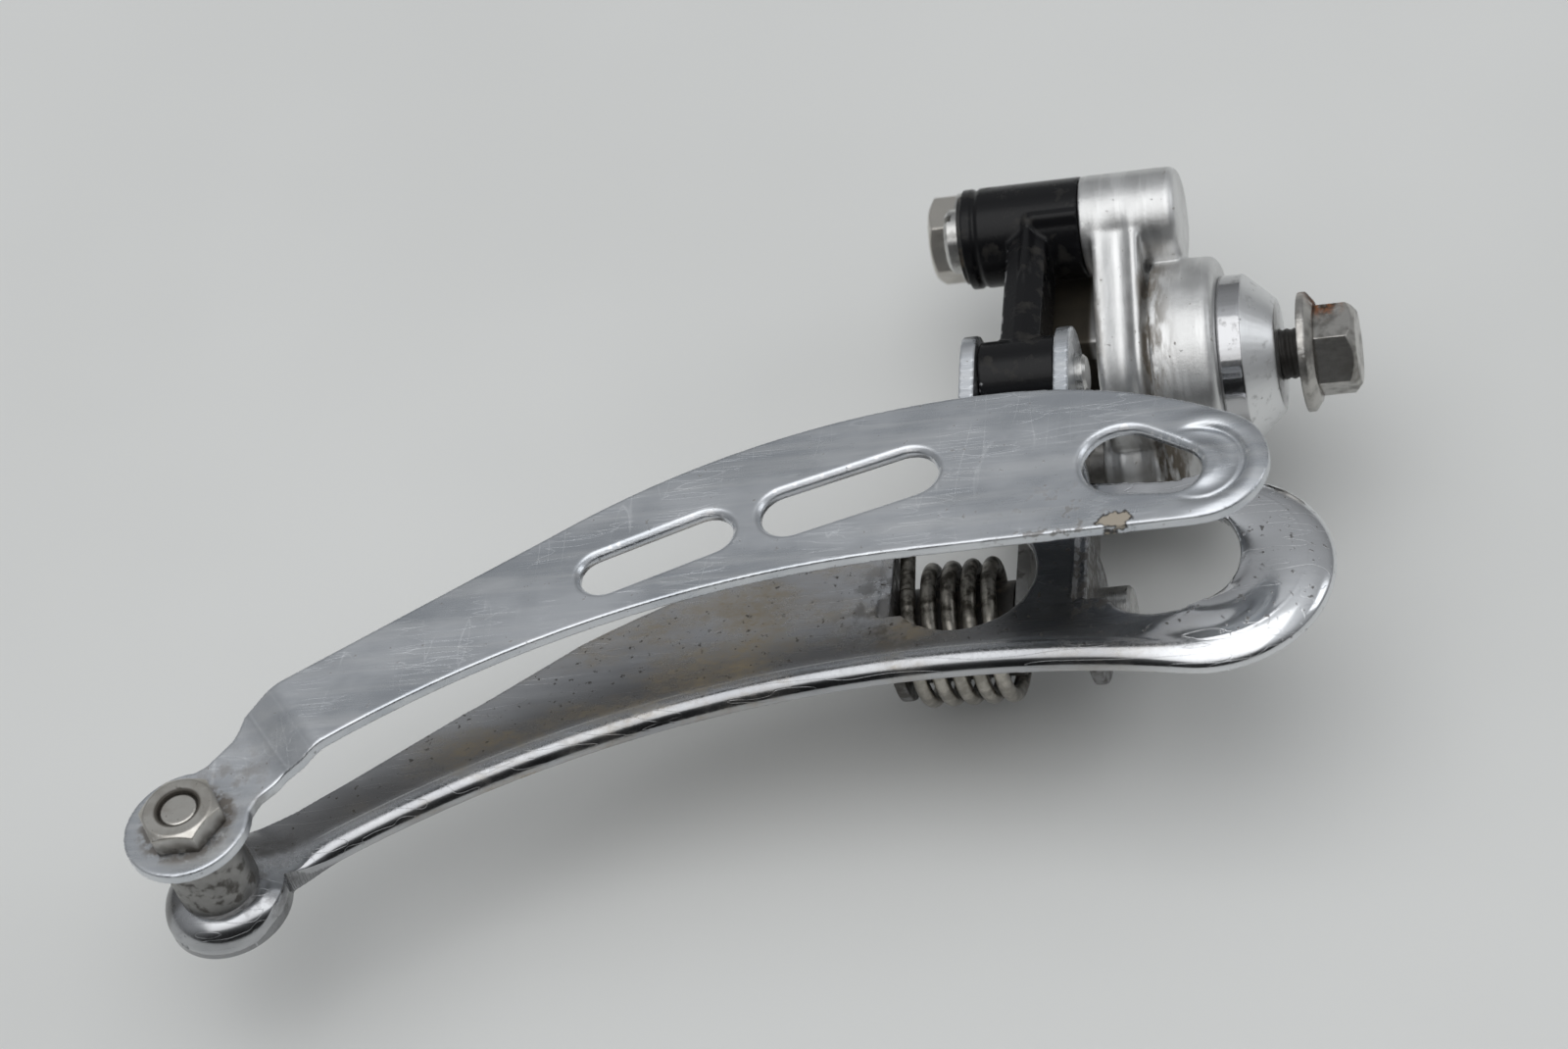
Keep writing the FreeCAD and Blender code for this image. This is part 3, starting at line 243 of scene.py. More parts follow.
def inner_plate_chrome():
    """Chrome under a film of chain oil: golden stains and black specks; painted shade darkens the crease, the
    strut between the windows and, in part, the flank.
    """
    g = Graph("inner_plate_chrome")
    cloud = g.noise(0.10, 5.0, (0.5, 1, 1), (0, -20, 0), 12.0)
    along = g.noise(0.7, 4.0, (0.08, 1, 1), (0, -22, 0), 33.0)
    stain = g.between(g.noise(0.17, 6.0, (0.5, 1, 1), (0, -22, 0), 3.0, 0.62), 0.40, 0.68)
    mottle = g.between(g.noise(1.6, 7.0, (0.6, 1, 1), (0, -22, 0), 23.0, 0.7), 0.40, 0.64)
    stain = g.times(stain, g.plus(0.55, g.times(mottle, 0.6)))
    reach = g.plus(g.near((-55, -3, -36), 27.0, 5.0), g.times(g.near((-76, -3, -48), 15.0, 3.0), 0.8),
                   g.near((-42, -3, -32), 15.0, 4.0), g.times(g.near((-14, -3, -38), 14.0, 3.0), 0.3))
    stain = g.times(stain, g.math("MINIMUM", reach, 1.0))
    inward = g.math("SUBTRACT", g.from_axis(*KEEL_AXIS), KEEL_RADIUS)
    specks = g.times(g.between(g.noise(1.5, 3.0, shift=17.0), 0.64, 0.70), g.between(inward, 2.4, 3.2))
    bead = g.times(g.between(inward, 0.3, 0.8), g.between(inward, 2.0, 2.8, 1.0, 0.0))
    ahead = g.between(g.axis("X"), -20.0, -9.0)
    # painted shade: a dark band just above the bead, behind the front loop, standing in for the reflection of
    # the outer plate's shaded back
    crease_painted_shade = g.times(g.between(inward, 2.0, 3.2), g.between(inward, 4.0, 10.0, 1.0, 0.0),
                     g.math("SUBTRACT", 1.0, ahead))
    # painted shade: near black on the strut between the windows, where the plate lies in shadow
    strut_painted_shade = g.times(g.near((-22, -3, -29), 9.0, 4.5), g.between(inward, 2.6, 4.0),
                    g.between(g.axis("X"), -19.6, -18.0, 1.0, 0.65))
    tail = g.times(g.near((-96, -1, -57), 9.0, 3.0), g.between(g.noise(0.45, 5.0, shift=6.0), 0.50, 0.66))
    window = g.times(g.near((-36, -2, -30), 8.0, 3.0), g.between(g.noise(0.6, 5.0, shift=2.0), 0.42, 0.6))
    ears = g.times(g.between(g.axis("Y"), -1.0, 0.6), g.near((-28, 6, -28), 17.0, 13.0),
                   g.between(g.noise(0.8, 6.0, shift=27.0), 0.36, 0.58, 0.35, 1.0))
    ear_edge = g.times(g.near((-18.7, -2, -27), 7.5, 5.0), g.between(g.axis("X"), -19.5, -19.2),
                       g.between(g.noise(1.1, 6.0, shift=37.0), 0.44, 0.60))
    dirt = g.math("MINIMUM", g.plus(g.times(specks, 0.85), g.times(tail, 0.4), g.times(window, 0.7),
                                    g.times(ears, 0.9), g.times(ear_edge, 0.8)), 1.0)
    scratches = g.lines(0.6, 0.007, (0.10, 1, 1), (0, -14, 0), 5.0)
    # the flank's dark base tone is partly oil film and partly painted reflection of the outer plate's shaded
    # back; the tone lightens towards the front loop
    tone = g.mix(g.between(cloud, 0.3, 0.7), (0.34, 0.345, 0.36), (0.50, 0.505, 0.52))
    tone = g.mix(g.between(g.axis("X"), -17.0, -6.0), tone, (0.74, 0.75, 0.77))
    tone = g.mix(g.times(g.between(along, 0.40, 0.64), 0.25), tone, (0.62, 0.63, 0.64))
    # painted shade along the crease
    tone = g.mix(g.times(crease_painted_shade, 0.70), tone, (0.12, 0.115, 0.11))
    # painted shade on the strut between the windows
    tone = g.mix(g.times(strut_painted_shade, 0.85), tone, (0.075, 0.075, 0.075))
    tone = g.mix(g.times(stain, 0.60), tone, OIL_GOLD)
    tone = g.mix(g.times(dirt, 0.9), tone, GRIME)
    rough = g.plus(g.between(cloud, 0.3, 0.7, 0.09, 0.20), g.times(stain, 0.22), g.times(dirt, 0.30),
                   g.times(scratches, 0.12), g.times(crease_painted_shade, 0.08),
                   g.times(bead, g.between(g.noise(2.5, 5.0), 0.3, 0.7, 0.04, 0.16)))
    relief = g.plus(g.times(cloud, 3.0), g.times(along, 0.6), g.times(stain, 1.0), g.times(dirt, 1.5),
                    g.times(scratches, -0.6))
    metallic = g.math("SUBTRACT", 1.0, g.plus(g.times(stain, 0.25), g.times(dirt, 0.6)))
    return g.surface(Base_Color=tone, Metallic=metallic, Roughness=rough, Normal=g.bump(relief, 0.012))


def cast_alloy():
    """Tumbled light alloy, whitish on its high places and brown where grease settles, with painted near-black
    shade where the body lies behind the beam.
    """
    g = Graph("cast_alloy")
    grain = g.noise(5.0, 4.0)
    cloud = g.noise(0.22, 5.0, shift=8.0)
    ribs = g.noise(0.9, 3.0, (1, 0.12, 0.12), shift=16.0)
    across = g.axis("X")
    runs = g.between(g.noise(0.8, 6.0, (1.6, 0.4, 0.4), shift=2.0), 0.36, 0.58)
    valley = g.times(g.between(across, -13.0, -12.2), g.between(across, -11.8, -8.4, 1.0, 0.0), runs,
                     g.between(g.axis("Z"), 3.5, 6.0, 1.0, 0.0))
    column_foot = g.times(g.between(across, -17.2, -15.6, 1.0, 0.0), g.near((-17, -10, -2), 8.0, 3.0), runs)
    underside = g.times(g.near((-11, 3, -9.5), 6.0, 1.0), runs)
    # painted shade: near black where the body lies behind the beam, in its shadow
    behind_beam_painted_shade = g.between(across, -18.7, -18.0, 1.0, 0.0)
    specks = g.between(g.noise(1.7, 3.0, shift=14.0), 0.68, 0.73)
    # the dirt mask here also carries the painted shade behind the beam
    dirt = g.math("MINIMUM", g.plus(g.times(valley, 0.95), g.times(column_foot, 0.8), g.times(underside, 0.6),
                                    behind_beam_painted_shade, g.times(specks, 0.5)), 1.0)
    tone = g.mix(g.between(cloud, 0.35, 0.65), (0.60, 0.60, 0.595), (0.74, 0.74, 0.735))
    tone = g.mix(g.times(g.between(ribs, 0.50, 0.66), 0.5), tone, (0.88, 0.88, 0.875))
    tone = g.mix(g.times(g.edges(0.52, 0.60), 0.7), tone, (0.92, 0.92, 0.91))
    tone = g.mix(g.times(dirt, 0.88), tone, (0.12, 0.09, 0.055))
    # soot is the near-black colour of the painted shade behind the beam
    soot = g.mix(g.noise(0.5, 5.0), (0.012, 0.011, 0.009), (0.07, 0.058, 0.038))
    tone = g.mix(g.times(behind_beam_painted_shade, 0.93), tone, soot)
    rough = g.plus(g.between(cloud, 0.3, 0.7, 0.30, 0.42), g.times(grain, 0.08), g.times(dirt, 0.18))
    relief = g.plus(g.times(grain, 0.5), g.times(cloud, 2.5), g.times(ribs, 1.5), g.times(dirt, 1.2))
    return g.surface(Base_Color=tone, Metallic=g.math("SUBTRACT", 0.92, g.times(dirt, 0.6)), Roughness=rough,
                     Normal=g.bump(relief, 0.03))


def black_anodised():
    """Hard black finish, dusty in places and rubbed bright on its edges."""
    g = Graph("black_anodised")
    grain = g.noise(2.5, 5.0)
    dust = g.times(g.between(g.noise(0.5, 6.0, shift=5.0), 0.54, 0.70), 0.35)
    rubbed = g.times(g.edges(0.56, 0.66), g.between(g.noise(0.9, 4.0, shift=11.0), 0.52, 0.66))
    tone = g.mix(dust, (0.008, 0.008, 0.009), (0.075, 0.069, 0.060))
    tone = g.mix(g.times(rubbed, 0.8), tone, (0.42, 0.42, 0.43))
    rough = g.plus(0.20, g.times(grain, 0.10), g.times(dust, 0.6))
    return g.surface(Base_Color=tone, Metallic=g.times(rubbed, 0.8), Roughness=rough, IOR=1.3,
                     Normal=g.bump(g.plus(grain, g.times(dust, 2.0)), 0.012))


def steel(name, tone, rough, grime=0.25, turned=False):
    """Plated or bare steel with tool marks and grime in patches."""
    g = Graph(name)
    if turned:
        marks = g.noise(9.0, 2.0, (1, 0.004, 0.004))
    else:
        marks = g.noise(7.0, 3.0, (0.2, 1, 1), (0, 0, 25))
    cloud = g.noise(0.45, 5.0, shift=6.0)
    dirt = g.times(g.between(g.noise(0.8, 6.0, shift=13.0), 0.50, 0.66), grime)
    colour = g.mix(g.between(cloud, 0.35, 0.65), [0.82 * value for value in tone], tone)
    colour = g.mix(dirt, colour, GRIME)
    roughness = g.plus(rough, g.times(marks, 0.12), g.times(dirt, 0.3))
    relief = g.plus(g.times(marks, 0.6), cloud, g.times(dirt, 1.2))
    metallic = g.math("SUBTRACT", 1.0, g.times(dirt, 0.6))
    return g.surface(Base_Color=colour, Metallic=metallic, Roughness=roughness, Normal=g.bump(relief, 0.015))


def ring_metal():
    """Turned collar: a mirror-bright band at the rear and a satin cone in front."""
    g = Graph("polished_ring")
    marks = g.noise(9.0, 2.0, (1, 0.004, 0.004))
    cloud = g.noise(0.5, 4.0, shift=6.0)
    cone = g.between(g.axis("X"), -3.1, -2.9)
    dents = g.between(g.noise(1.2, 3.0, shift=9.0), 0.69, 0.74)
    dirt = g.times(g.between(g.noise(0.9, 6.0, shift=13.0), 0.55, 0.70), 0.3)
    tone = g.mix(cone, (0.52, 0.52, 0.53), (0.80, 0.805, 0.81))
    tone = g.mix(g.plus(dirt, g.times(dents, 0.4)), tone, GRIME)
    rough = g.plus(g.between(cone, 0.0, 1.0, 0.08, 0.30), g.times(marks, 0.10), g.times(dirt, 0.3))
    relief = g.plus(g.times(marks, 0.5), cloud, g.times(dents, -1.5))
    return g.surface(Base_Color=tone, Metallic=g.math("SUBTRACT", 1.0, g.times(dirt, 0.5)), Roughness=rough,
                     Normal=g.bump(relief, 0.012))


def bolt_metal():
    """Dull bolt: greasy black thread, darkened flats and a patch of rust by the washer."""
    g = Graph("bolt_steel")
    grain = g.noise(3.0, 5.0)
    marks = g.noise(5.0, 3.0, (0.12, 1, 1), shift=8.0)
    along = g.axis("X")
    thread = g.times(g.between(along, 1.9, 2.15, 1.0, 0.0), g.between(along, -22.0, -20.0))
    anchor = g.between(along, -22.0, -20.0, 1.0, 0.0)
    soot = g.between(g.noise(0.5, 5.0, shift=13.0), 0.42, 0.64)
    patch = g.times(g.between(g.noise(0.9, 6.0, shift=21.0), 0.36, 0.52), g.near(RUST_PLACE, 3.6, 1.4))
    tone = g.mix(soot, (0.50, 0.485, 0.46), (0.24, 0.23, 0.215))
    tone = g.mix(g.times(anchor, 0.8), tone, (0.62, 0.59, 0.54))
    tone = g.mix(g.times(g.edges(0.53, 0.62), 0.5), tone, (0.70, 0.69, 0.67))
    rust = g.mix(g.between(g.noise(1.4, 4.0, shift=5.0), 0.4, 0.6), RUST, (0.05, 0.028, 0.015))
    tone = g.mix(patch, tone, rust)
    tone = g.mix(g.times(thread, 0.95), tone, (0.012, 0.010, 0.008))
    rough = g.plus(0.24, g.times(marks, 0.12), g.times(soot, 0.12), g.times(patch, 0.4),
                   g.times(thread, 0.15))
    metallic = g.math("SUBTRACT", 1.0, g.math("MAXIMUM", g.times(patch, 0.85), g.times(thread, 0.7)))
    relief = g.plus(g.times(marks, 1.2), g.times(grain, 0.5), g.times(patch, 3.0))
    return g.surface(Base_Color=tone, Metallic=metallic, Roughness=rough, Normal=g.bump(relief, 0.015))


def nut_metal():
    """Bronze-tinged nut with grime in its thread and round its foot."""
    g = Graph("nut_steel")
    grain = g.noise(3.0, 5.0)
    marks = g.noise(5.0, 3.0, (0.15, 1, 1), (0, 20, 0))
    from_centre = g.from_axis(*TAIL_EYE)
    thread = g.times(g.between(from_centre, 1.85, 1.98), g.between(from_centre, 2.15, 2.45, 1.0, 0.0))
    foot = g.times(g.between(g.axis("Y"), -14.4, -12.8),
                   g.between(g.noise(1.0, 5.0, shift=3.0), 0.3, 0.6, 0.55, 1.0))
    specks = g.between(g.noise(1.8, 3.0, shift=14.0), 0.66, 0.71)
    dirt = g.math("MINIMUM", g.plus(thread, g.times(foot, 0.95), g.times(specks, 0.5)), 1.0)
    tone = g.mix(g.between(g.noise(0.5, 4.0), 0.35, 0.65), (0.50, 0.475, 0.435), (0.62, 0.60, 0.56))
    tone = g.mix(g.times(g.edges(0.54, 0.62), 0.6), tone, (0.84, 0.82, 0.78))
    tone = g.mix(g.times(dirt, 0.92), tone, (0.035, 0.028, 0.02))
    rough = g.plus(0.24, g.times(marks, 0.12), g.times(dirt, 0.25))
    return g.surface(Base_Color=tone, Metallic=g.math("SUBTRACT", 1.0, g.times(dirt, 0.6)), Roughness=rough,
                     Normal=g.bump(g.plus(marks, g.times(grain, 0.5), dirt), 0.014))


def spring_metal():
    """Dark spring wire, bright on top of the coils and greasy between them."""
    g = Graph("spring_steel")
    grain = g.noise(2.2, 5.0)
    upper = g.between(g.axis("Z"), -32.0, -28.5)
    patches = g.between(g.noise(0.9, 6.0, shift=4.0), 0.38, 0.62)
    grease = g.plus(g.times(upper, 0.5), g.times(patches, g.between(upper, 0.0, 1.0, 0.35, 0.5)))
    tone = g.mix(grease, (0.46, 0.435, 0.39), (0.03, 0.025, 0.017))
    rough = g.plus(0.22, g.times(grease, 0.16), g.times(grain, 0.12))
    metallic = g.math("SUBTRACT", 1.0, g.times(grease, 0.45))
    return g.surface(Base_Color=tone, Metallic=metallic, Roughness=rough,
                     Normal=g.bump(g.plus(grain, grease), 0.02))


def dark_plastic(name, tone):
    g = Graph(name)
    grain = g.noise(3.0, 5.0)
    grease = g.between(g.noise(0.5, 5.0, shift=4.0), 0.45, 0.65)
    colour = g.mix(g.times(grease, 0.6), tone, (0.16, 0.125, 0.085))
    return g.surface(Base_Color=colour, Roughness=g.plus(0.42, g.times(grain, 0.2), g.times(grease, -0.12)),
                     Normal=g.bump(g.plus(grain, grease), 0.03))


def table_top():
    """Pale matt board; from below it lets the view through."""
    g = Graph("pale_table")
    cloud = g.noise(0.012, 3.0)
    grain = g.noise(1.2, 4.0)
    tone = g.mix(g.between(cloud, 0.3, 0.7), (0.785, 0.79, 0.775), (0.825, 0.83, 0.815))
    g.surface(Base_Color=tone, Roughness=g.plus(0.42, g.times(grain, 0.12)), Normal=g.bump(grain, 0.01))
    board = g.output.inputs["Surface"].links[0].from_socket
    clear = g.add("ShaderNodeBsdfTransparent")
    geometry = g.add("ShaderNodeNewGeometry")
    choice = g.add("ShaderNodeMixShader")
    g.put(choice.inputs[0], geometry.outputs["Backfacing"])
    g.put(choice.inputs[1], board)
    g.put(choice.inputs[2], clear.outputs[0])
    g.put(g.output.inputs["Surface"], choice.outputs[0])
    return g.material


FINISHES = {
    "outer_plate_satin": outer_plate_metal(),
    "inner_plate_chrome": inner_plate_chrome(),
    "cast_alloy": cast_alloy(),
    "black_anodised": black_anodised(),
    "polished_ring": ring_metal(),
    "bolt_steel": bolt_metal(),
    "link_steel": steel("link_steel", (0.40, 0.39, 0.375), 0.30, grime=0.6),
    "pin_steel": steel("pin_steel", (0.60, 0.595, 0.58), 0.22, grime=0.3, turned=True),
    "spacer_steel": steel("spacer_steel", (0.33, 0.325, 0.315), 0.34, grime=0.7),
    "nut_steel": nut_metal(),
    "spring_steel": spring_metal(),
    "washer_dark": dark_plastic("washer_dark", (0.018, 0.018, 0.018)),
    "sleeve_plastic": dark_plastic("sleeve_plastic", (0.035, 0.032, 0.028)),
}


# --- pieces ----------------------------------------------------------------------------

NODE_BODY = {node: body for body, nodes in frame["record"]["behaviour"]["bodies"].items() for node in nodes}
NODE_SLOT = {part["node"]: part["material_slot"] for part in frame["record"]["subparts"]}


def fine_copy(node, voxel, softening, reshape=None):
    """An even, finely meshed skin over a CAD node, with its edges eased.

    voxel and softening (passes of smoothing) set how far the edges round off;
    reshape moves the points of the skin, given and returned in millimetres.
    """
    mesh = frame["nodes"][node].data.copy()
    mesh.transform(Matrix.Scale(1 / MM, 4))
    raw = bpy.data.objects.new(node + "_raw", mesh)
    scene.collection.objects.link(raw)
    skin = raw.modifiers.new("skin", "REMESH")
    skin.mode = "VOXEL"
    skin.voxel_size = voxel
    smoothing = raw.modifiers.new("smoothing", "SMOOTH")
    smoothing.factor = 0.5
    smoothing.iterations = softening
    graph = bpy.context.evaluated_depsgraph_get()
    fine = bpy.data.meshes.new_from_object(raw.evaluated_get(graph))
    bpy.data.objects.remove(raw)
    points = np.empty(len(fine.vertices) * 3)
    fine.vertices.foreach_get("co", points)
    points = points.reshape(-1, 3)
    if reshape is not None:
        points = reshape(points)
    fine.vertices.foreach_set("co", (points * MM).ravel())
    fine.polygons.foreach_set("use_smooth", [True] * len(fine.polygons))
    fine.materials.clear()
    fine.materials.append(FINISHES[NODE_SLOT[node]])
    fine.update()
    piece = bpy.data.objects.new(node + "_skin", fine)
    scene.collection.objects.link(piece)
    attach(piece, NODE_BODY[node])
    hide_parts(node)
    return piece


def hump(distance, width):
    """Bell from one at zero to nothing at width."""
    t = np.clip(1 - (distance / width) ** 2, 0, 1)
    return t * t


def ease(value):
    """Smooth step of a value already scaled to run from nothing to one."""
    value = np.clip(value, 0, 1)
    return value * value * (3 - 2 * value)


# the outer plate's face, and the step that brings its tail nearer the inner plate
OUTER_FACE = -15.0
SHEET = 1.2
TAIL_STEP = 2.4
TAIL_BEND = (-92.6, -44.7)
BEND_HEADING = math.radians(35.9)


def shape_outer_plate(points):
    """Flows the tail step into an S-curve and rolls a rim round the nose."""
    x, y, z = points.T
    plate = y < -11.0
    ahead = (x - TAIL_BEND[0]) * math.cos(BEND_HEADING) + (z - TAIL_BEND[1]) * math.sin(BEND_HEADING)
    front = OUTER_FACE + TAIL_STEP * np.clip(-ahead / 2.8, 0, 1)
    back = OUTER_FACE + SHEET + TAIL_STEP * np.clip((0.5 - ahead) / 2.8, 0, 1)
    through = (y - front) / (back - front)
    curve = OUTER_FACE + TAIL_STEP * ease((1.4 - ahead) / 6.2) + SHEET * through
    y = np.where(plate & (x < -80) & (ahead > -6.0) & (ahead < 3.0), curve, y)
    across, up = x - NOSE_AXIS[0], z - NOSE_AXIS[1]
    radius = np.hypot(across, up)
    forward = ease((across / np.maximum(radius, 0.1) + 0.5) / 0.9)
    hollow = 0.30 * hump(radius - NOSE_RADIUS + 3.3, 1.5)
    groove = 0.26 * hump(radius - NOSE_RADIUS + 2.3, 0.42)
    rim = -0.26 * hump(radius - NOSE_RADIUS + 1.15, 1.25)
    y = y + (y < -13.2) * forward * (hollow + groove + rim)
    return np.stack([x, y, z], axis=1)


# cross-section of the inner plate; inward is the distance from its lower outline
PLATE_FACE = -1.8
LIP_FACE = 0.63
CREASE = 2.5
CREASE_FACE = -0.42
LOOP_FALL = 0.18 / 8.5
FLANK_FALL = -0.68 / 24.5
DISH_RADIUS, DISH_MIDDLE, DISH_HALF = 65.0, 14.75, 12.25
BEAD_IN, BEAD_UP, BEAD_RADIUS = 1.647, 1.051, 1.7
BEAD_SLACK = 0.25
EARS_START = 1.2

# the flank's dish runs out over DISH_RUN_OUT behind the seam between flank and loop
SEAM = (LOOP_AXIS[0] - KEEL_AXIS[0], LOOP_AXIS[1] - KEEL_AXIS[1])
SEAM_BLUR = 0.8
DISH_RUN_OUT = 8.0

# the loop's broad band: where it fades in, its crest and how far it rises
BAND_REAR, BAND_FADE = -17.0, 13.0
BAND_END, BAND_END_FADE = 10.0, 2.5
BAND_CREST = 5.2
BAND_RISE = 1.15
ROLL_START = 2.2
ROLL_FACE = 0.35

# the foot round the tail eye
EYE_FACE = -1.1
FOOT_TOP = -3.5
FOOT_RIM = -0.8
FOOT_FLAT = 3.7
TOWARDS_FLANK = (0.88, 0.48)


def outline_circle(x, z):
    """Distance behind the seam, and axis, radius and inward sign of the circle that bounds each point."""
    past_seam = ((x - KEEL_AXIS[0]) * SEAM[1] - (z - KEEL_AXIS[1]) * SEAM[0]) / -math.hypot(*SEAM)
    behind = past_seam > 0
    axis_x = np.where(behind, KEEL_AXIS[0], LOOP_AXIS[0])
    axis_z = np.where(behind, KEEL_AXIS[1], LOOP_AXIS[1])
    edge = np.where(behind, KEEL_RADIUS, LOOP_RADIUS)
    side = np.where(behind, 1.0, -1.0)
    return past_seam, axis_x, axis_z, edge, side


def even_bead(points):
    """Puts the skin of the rolled margin back on its exact arc."""
    x, y, z = points.T
    _, axis_x, axis_z, edge, side = outline_circle(x, z)
    radius = np.hypot(x - axis_x, z - axis_z)
    across = side * (radius - edge) - BEAD_IN
    through = y - PLATE_FACE - BEAD_UP
    distance = np.maximum(np.hypot(across, through), 0.1)
    on_arc = (np.abs(distance - BEAD_RADIUS) < BEAD_SLACK) & (across < CREASE - BEAD_IN)
    weight = on_arc * ease((CREASE - BEAD_IN - across) / 0.4) * ease(-through / 0.3)
    scale = 1 + weight * (BEAD_RADIUS / distance - 1)
    stretch = (edge + side * (BEAD_IN + across * scale)) / np.maximum(radius, 0.1)
    y = PLATE_FACE + BEAD_UP + through * scale
    return np.stack([axis_x + (x - axis_x) * stretch, y, axis_z + (z - axis_z) * stretch], axis=1)


def shape_inner_plate(points):
    """Rolls the front loop into a broad band and flows the flank into the foot round the tail eye."""
    x, y, z = even_bead(points).T
    past_seam, axis_x, axis_z, edge, side = outline_circle(x, z)
    inward = side * (np.hypot(x - axis_x, z - axis_z) - edge)
    bead = PLATE_FACE + BEAD_UP - np.sqrt(np.clip(BEAD_RADIUS ** 2 - (inward - BEAD_IN) ** 2, 0, None))
    flat = PLATE_FACE + CREASE_FACE - LOOP_FALL * (inward - CREASE)
    sag = np.sqrt(DISH_RADIUS ** 2 - np.clip(inward - DISH_MIDDLE, -DISH_HALF, DISH_HALF) ** 2)
    sag = sag - math.sqrt(DISH_RADIUS ** 2 - DISH_HALF ** 2)
    dish = PLATE_FACE + CREASE_FACE + FLANK_FALL * (inward - CREASE) + sag
    level = np.where(past_seam > 0, dish, flat)
    through = (y - level) / SHEET
    sheet = (inward > CREASE) & (through > -0.6) & (through < 1.4) & (past_seam < DISH_RUN_OUT)
    # the skin blurs the step at the seam, so there its points go wholly to the front or the back
    through = np.where(np.abs(past_seam) < SEAM_BLUR, np.round(np.clip(through, 0, 1)), through)
    settled = level + ease((DISH_RUN_OUT - past_seam) / DISH_RUN_OUT) * (flat - level) + SHEET * through
    y = np.where(sheet, settled, y)

    # the loop swells to its crest and falls away to both its edges
    outer_half = ROLL_FACE * (np.clip(BAND_CREST - inward, 0, BAND_CREST) / (BAND_CREST - ROLL_START)) ** 2
    roll = np.clip((ROLL_START - inward) / ROLL_START, 0, 1)
    rolled = ROLL_FACE + 0.51 * roll + 0.92 * (1 - np.sqrt(1 - roll ** 2))
    outer_half = np.where(inward < ROLL_START, rolled, outer_half)
    inner_half = 0.6 * np.clip((inward - BAND_CREST) / 3.2, 0, 1.2) ** 2
    wanted = PLATE_FACE - BAND_RISE + outer_half + inner_half
    present = np.where(inward < CREASE, np.minimum(bead, PLATE_FACE + LIP_FACE), flat)
    share = ease((x - BAND_REAR) / BAND_FADE) * ease((BAND_END - inward) / BAND_END_FADE)
    y = y + np.where(y > EARS_START, 0, share) * (wanted - present)

    # a rounded foot rises round the spacer and runs out into the flank
    foot_x, foot_z = x - TAIL_EYE[0], z - TAIL_EYE[1]
    from_eye = np.hypot(foot_x, foot_z)
    towards_flank = (TOWARDS_FLANK[0] * foot_x + TOWARDS_FLANK[1] * foot_z) / np.maximum(from_eye, 0.1)
    beyond = from_eye - FOOT_FLAT
    dome = FOOT_TOP + (FOOT_RIM - FOOT_TOP) * (1 - np.sqrt(1 - np.clip(beyond / 2.4, 0, 1) ** 2))
    neck = FOOT_TOP + (PLATE_FACE - 0.4 - FOOT_TOP) * ease(beyond / 4.5)
    top = dome + (neck - dome) * ease((towards_flank - 0.1) / 0.6)
    blend = ease((11.5 - from_eye) / 5.4) * (from_eye > 3.4)
    front = (y < -0.55) & (y > -3.0)
    rear = (y >= -0.55) & (y < 1.0)
    y = y + blend * np.where(front, top - y, np.where(rear, EYE_FACE + SHEET - y, 0))
    return np.stack([x, y, z], axis=1)


DOWN_COLUMN = (-0.696, -0.717)


def shape_body(points):
    """Two upright ribs with a shallow channel between them on the column."""
    x, y, z = points.T
    facing = y * DOWN_COLUMN[0] + z * DOWN_COLUMN[1]
    on_column = ease((facing - 2.6) / 1.0) * ease((9.0 - z) / 4.0) * (x < -12.0)
    rise = on_column * (0.25 * hump(x + 16.3, 0.9) + 0.35 * hump(x + 12.9, 0.8) - 0.35 * hump(x + 14.5, 1.2))
    return np.stack([x, y + rise * DOWN_COLUMN[0], z + rise * DOWN_COLUMN[1]], axis=1)


THREAD_PITCH = 0.8
THREAD_DEPTH_SHARE = 0.05


def shape_mount_bolt(points):
    """Cuts the thread that shows between the seat and the washer."""
    x, y, z = points.T
    around = np.arctan2(z, y)
    threaded = (x < 2.0) * (np.hypot(y, z) > 1.8)
    groove = 0.5 + 0.5 * np.cos(2 * math.pi * x / THREAD_PITCH - around)
    scale = 1 - THREAD_DEPTH_SHARE * threaded * groove
    return np.stack([x, y * scale, z * scale], axis=1)


def shape_tail_bolt(points):
    """Sets the end of the thread a little below the nut's face."""
    x, y, z = points.T
    return np.stack([x, y + 0.35 * (y < -14.6), z], axis=1)


LINK_HUB = (-10.0, 10.7)
LINK_HUB_RADIUS = 5.0


def shape_outer_link(points):
    """Raises the thin flange that climbs the beam and turns along the hub, and a ring round the hub."""
    x, y, z = points.T
    front = np.clip((-11.5 - y) / 1.0, 0, 1)
    climb = hump(x + 23.1, 0.8) * ease((z + 0.5) / 2) * ease((8.8 - z) / 1.2)
    along = hump(z - 8.0, 0.8) * ease((x + 23.6) / 1.0)
    y = y - 0.35 * front * np.maximum(climb, along)
    ring = 0.22 * hump(x + 28.6, 0.45) * (z > 4.0)
    y = LINK_HUB[0] + (y - LINK_HUB[0]) * (1 - ring / LINK_HUB_RADIUS)
    z = LINK_HUB[1] + (z - LINK_HUB[1]) * (1 - ring / LINK_HUB_RADIUS)
    return np.stack([x, y, z], axis=1)


fine_copy("cage_outer_plate", 0.16, 2, shape_outer_plate)
fine_copy("cage_inner_plate", 0.16, 7, shape_inner_plate)
fine_copy("main_body", 0.20, 9, shape_body)
fine_copy("outer_link", 0.15, 4, shape_outer_link)

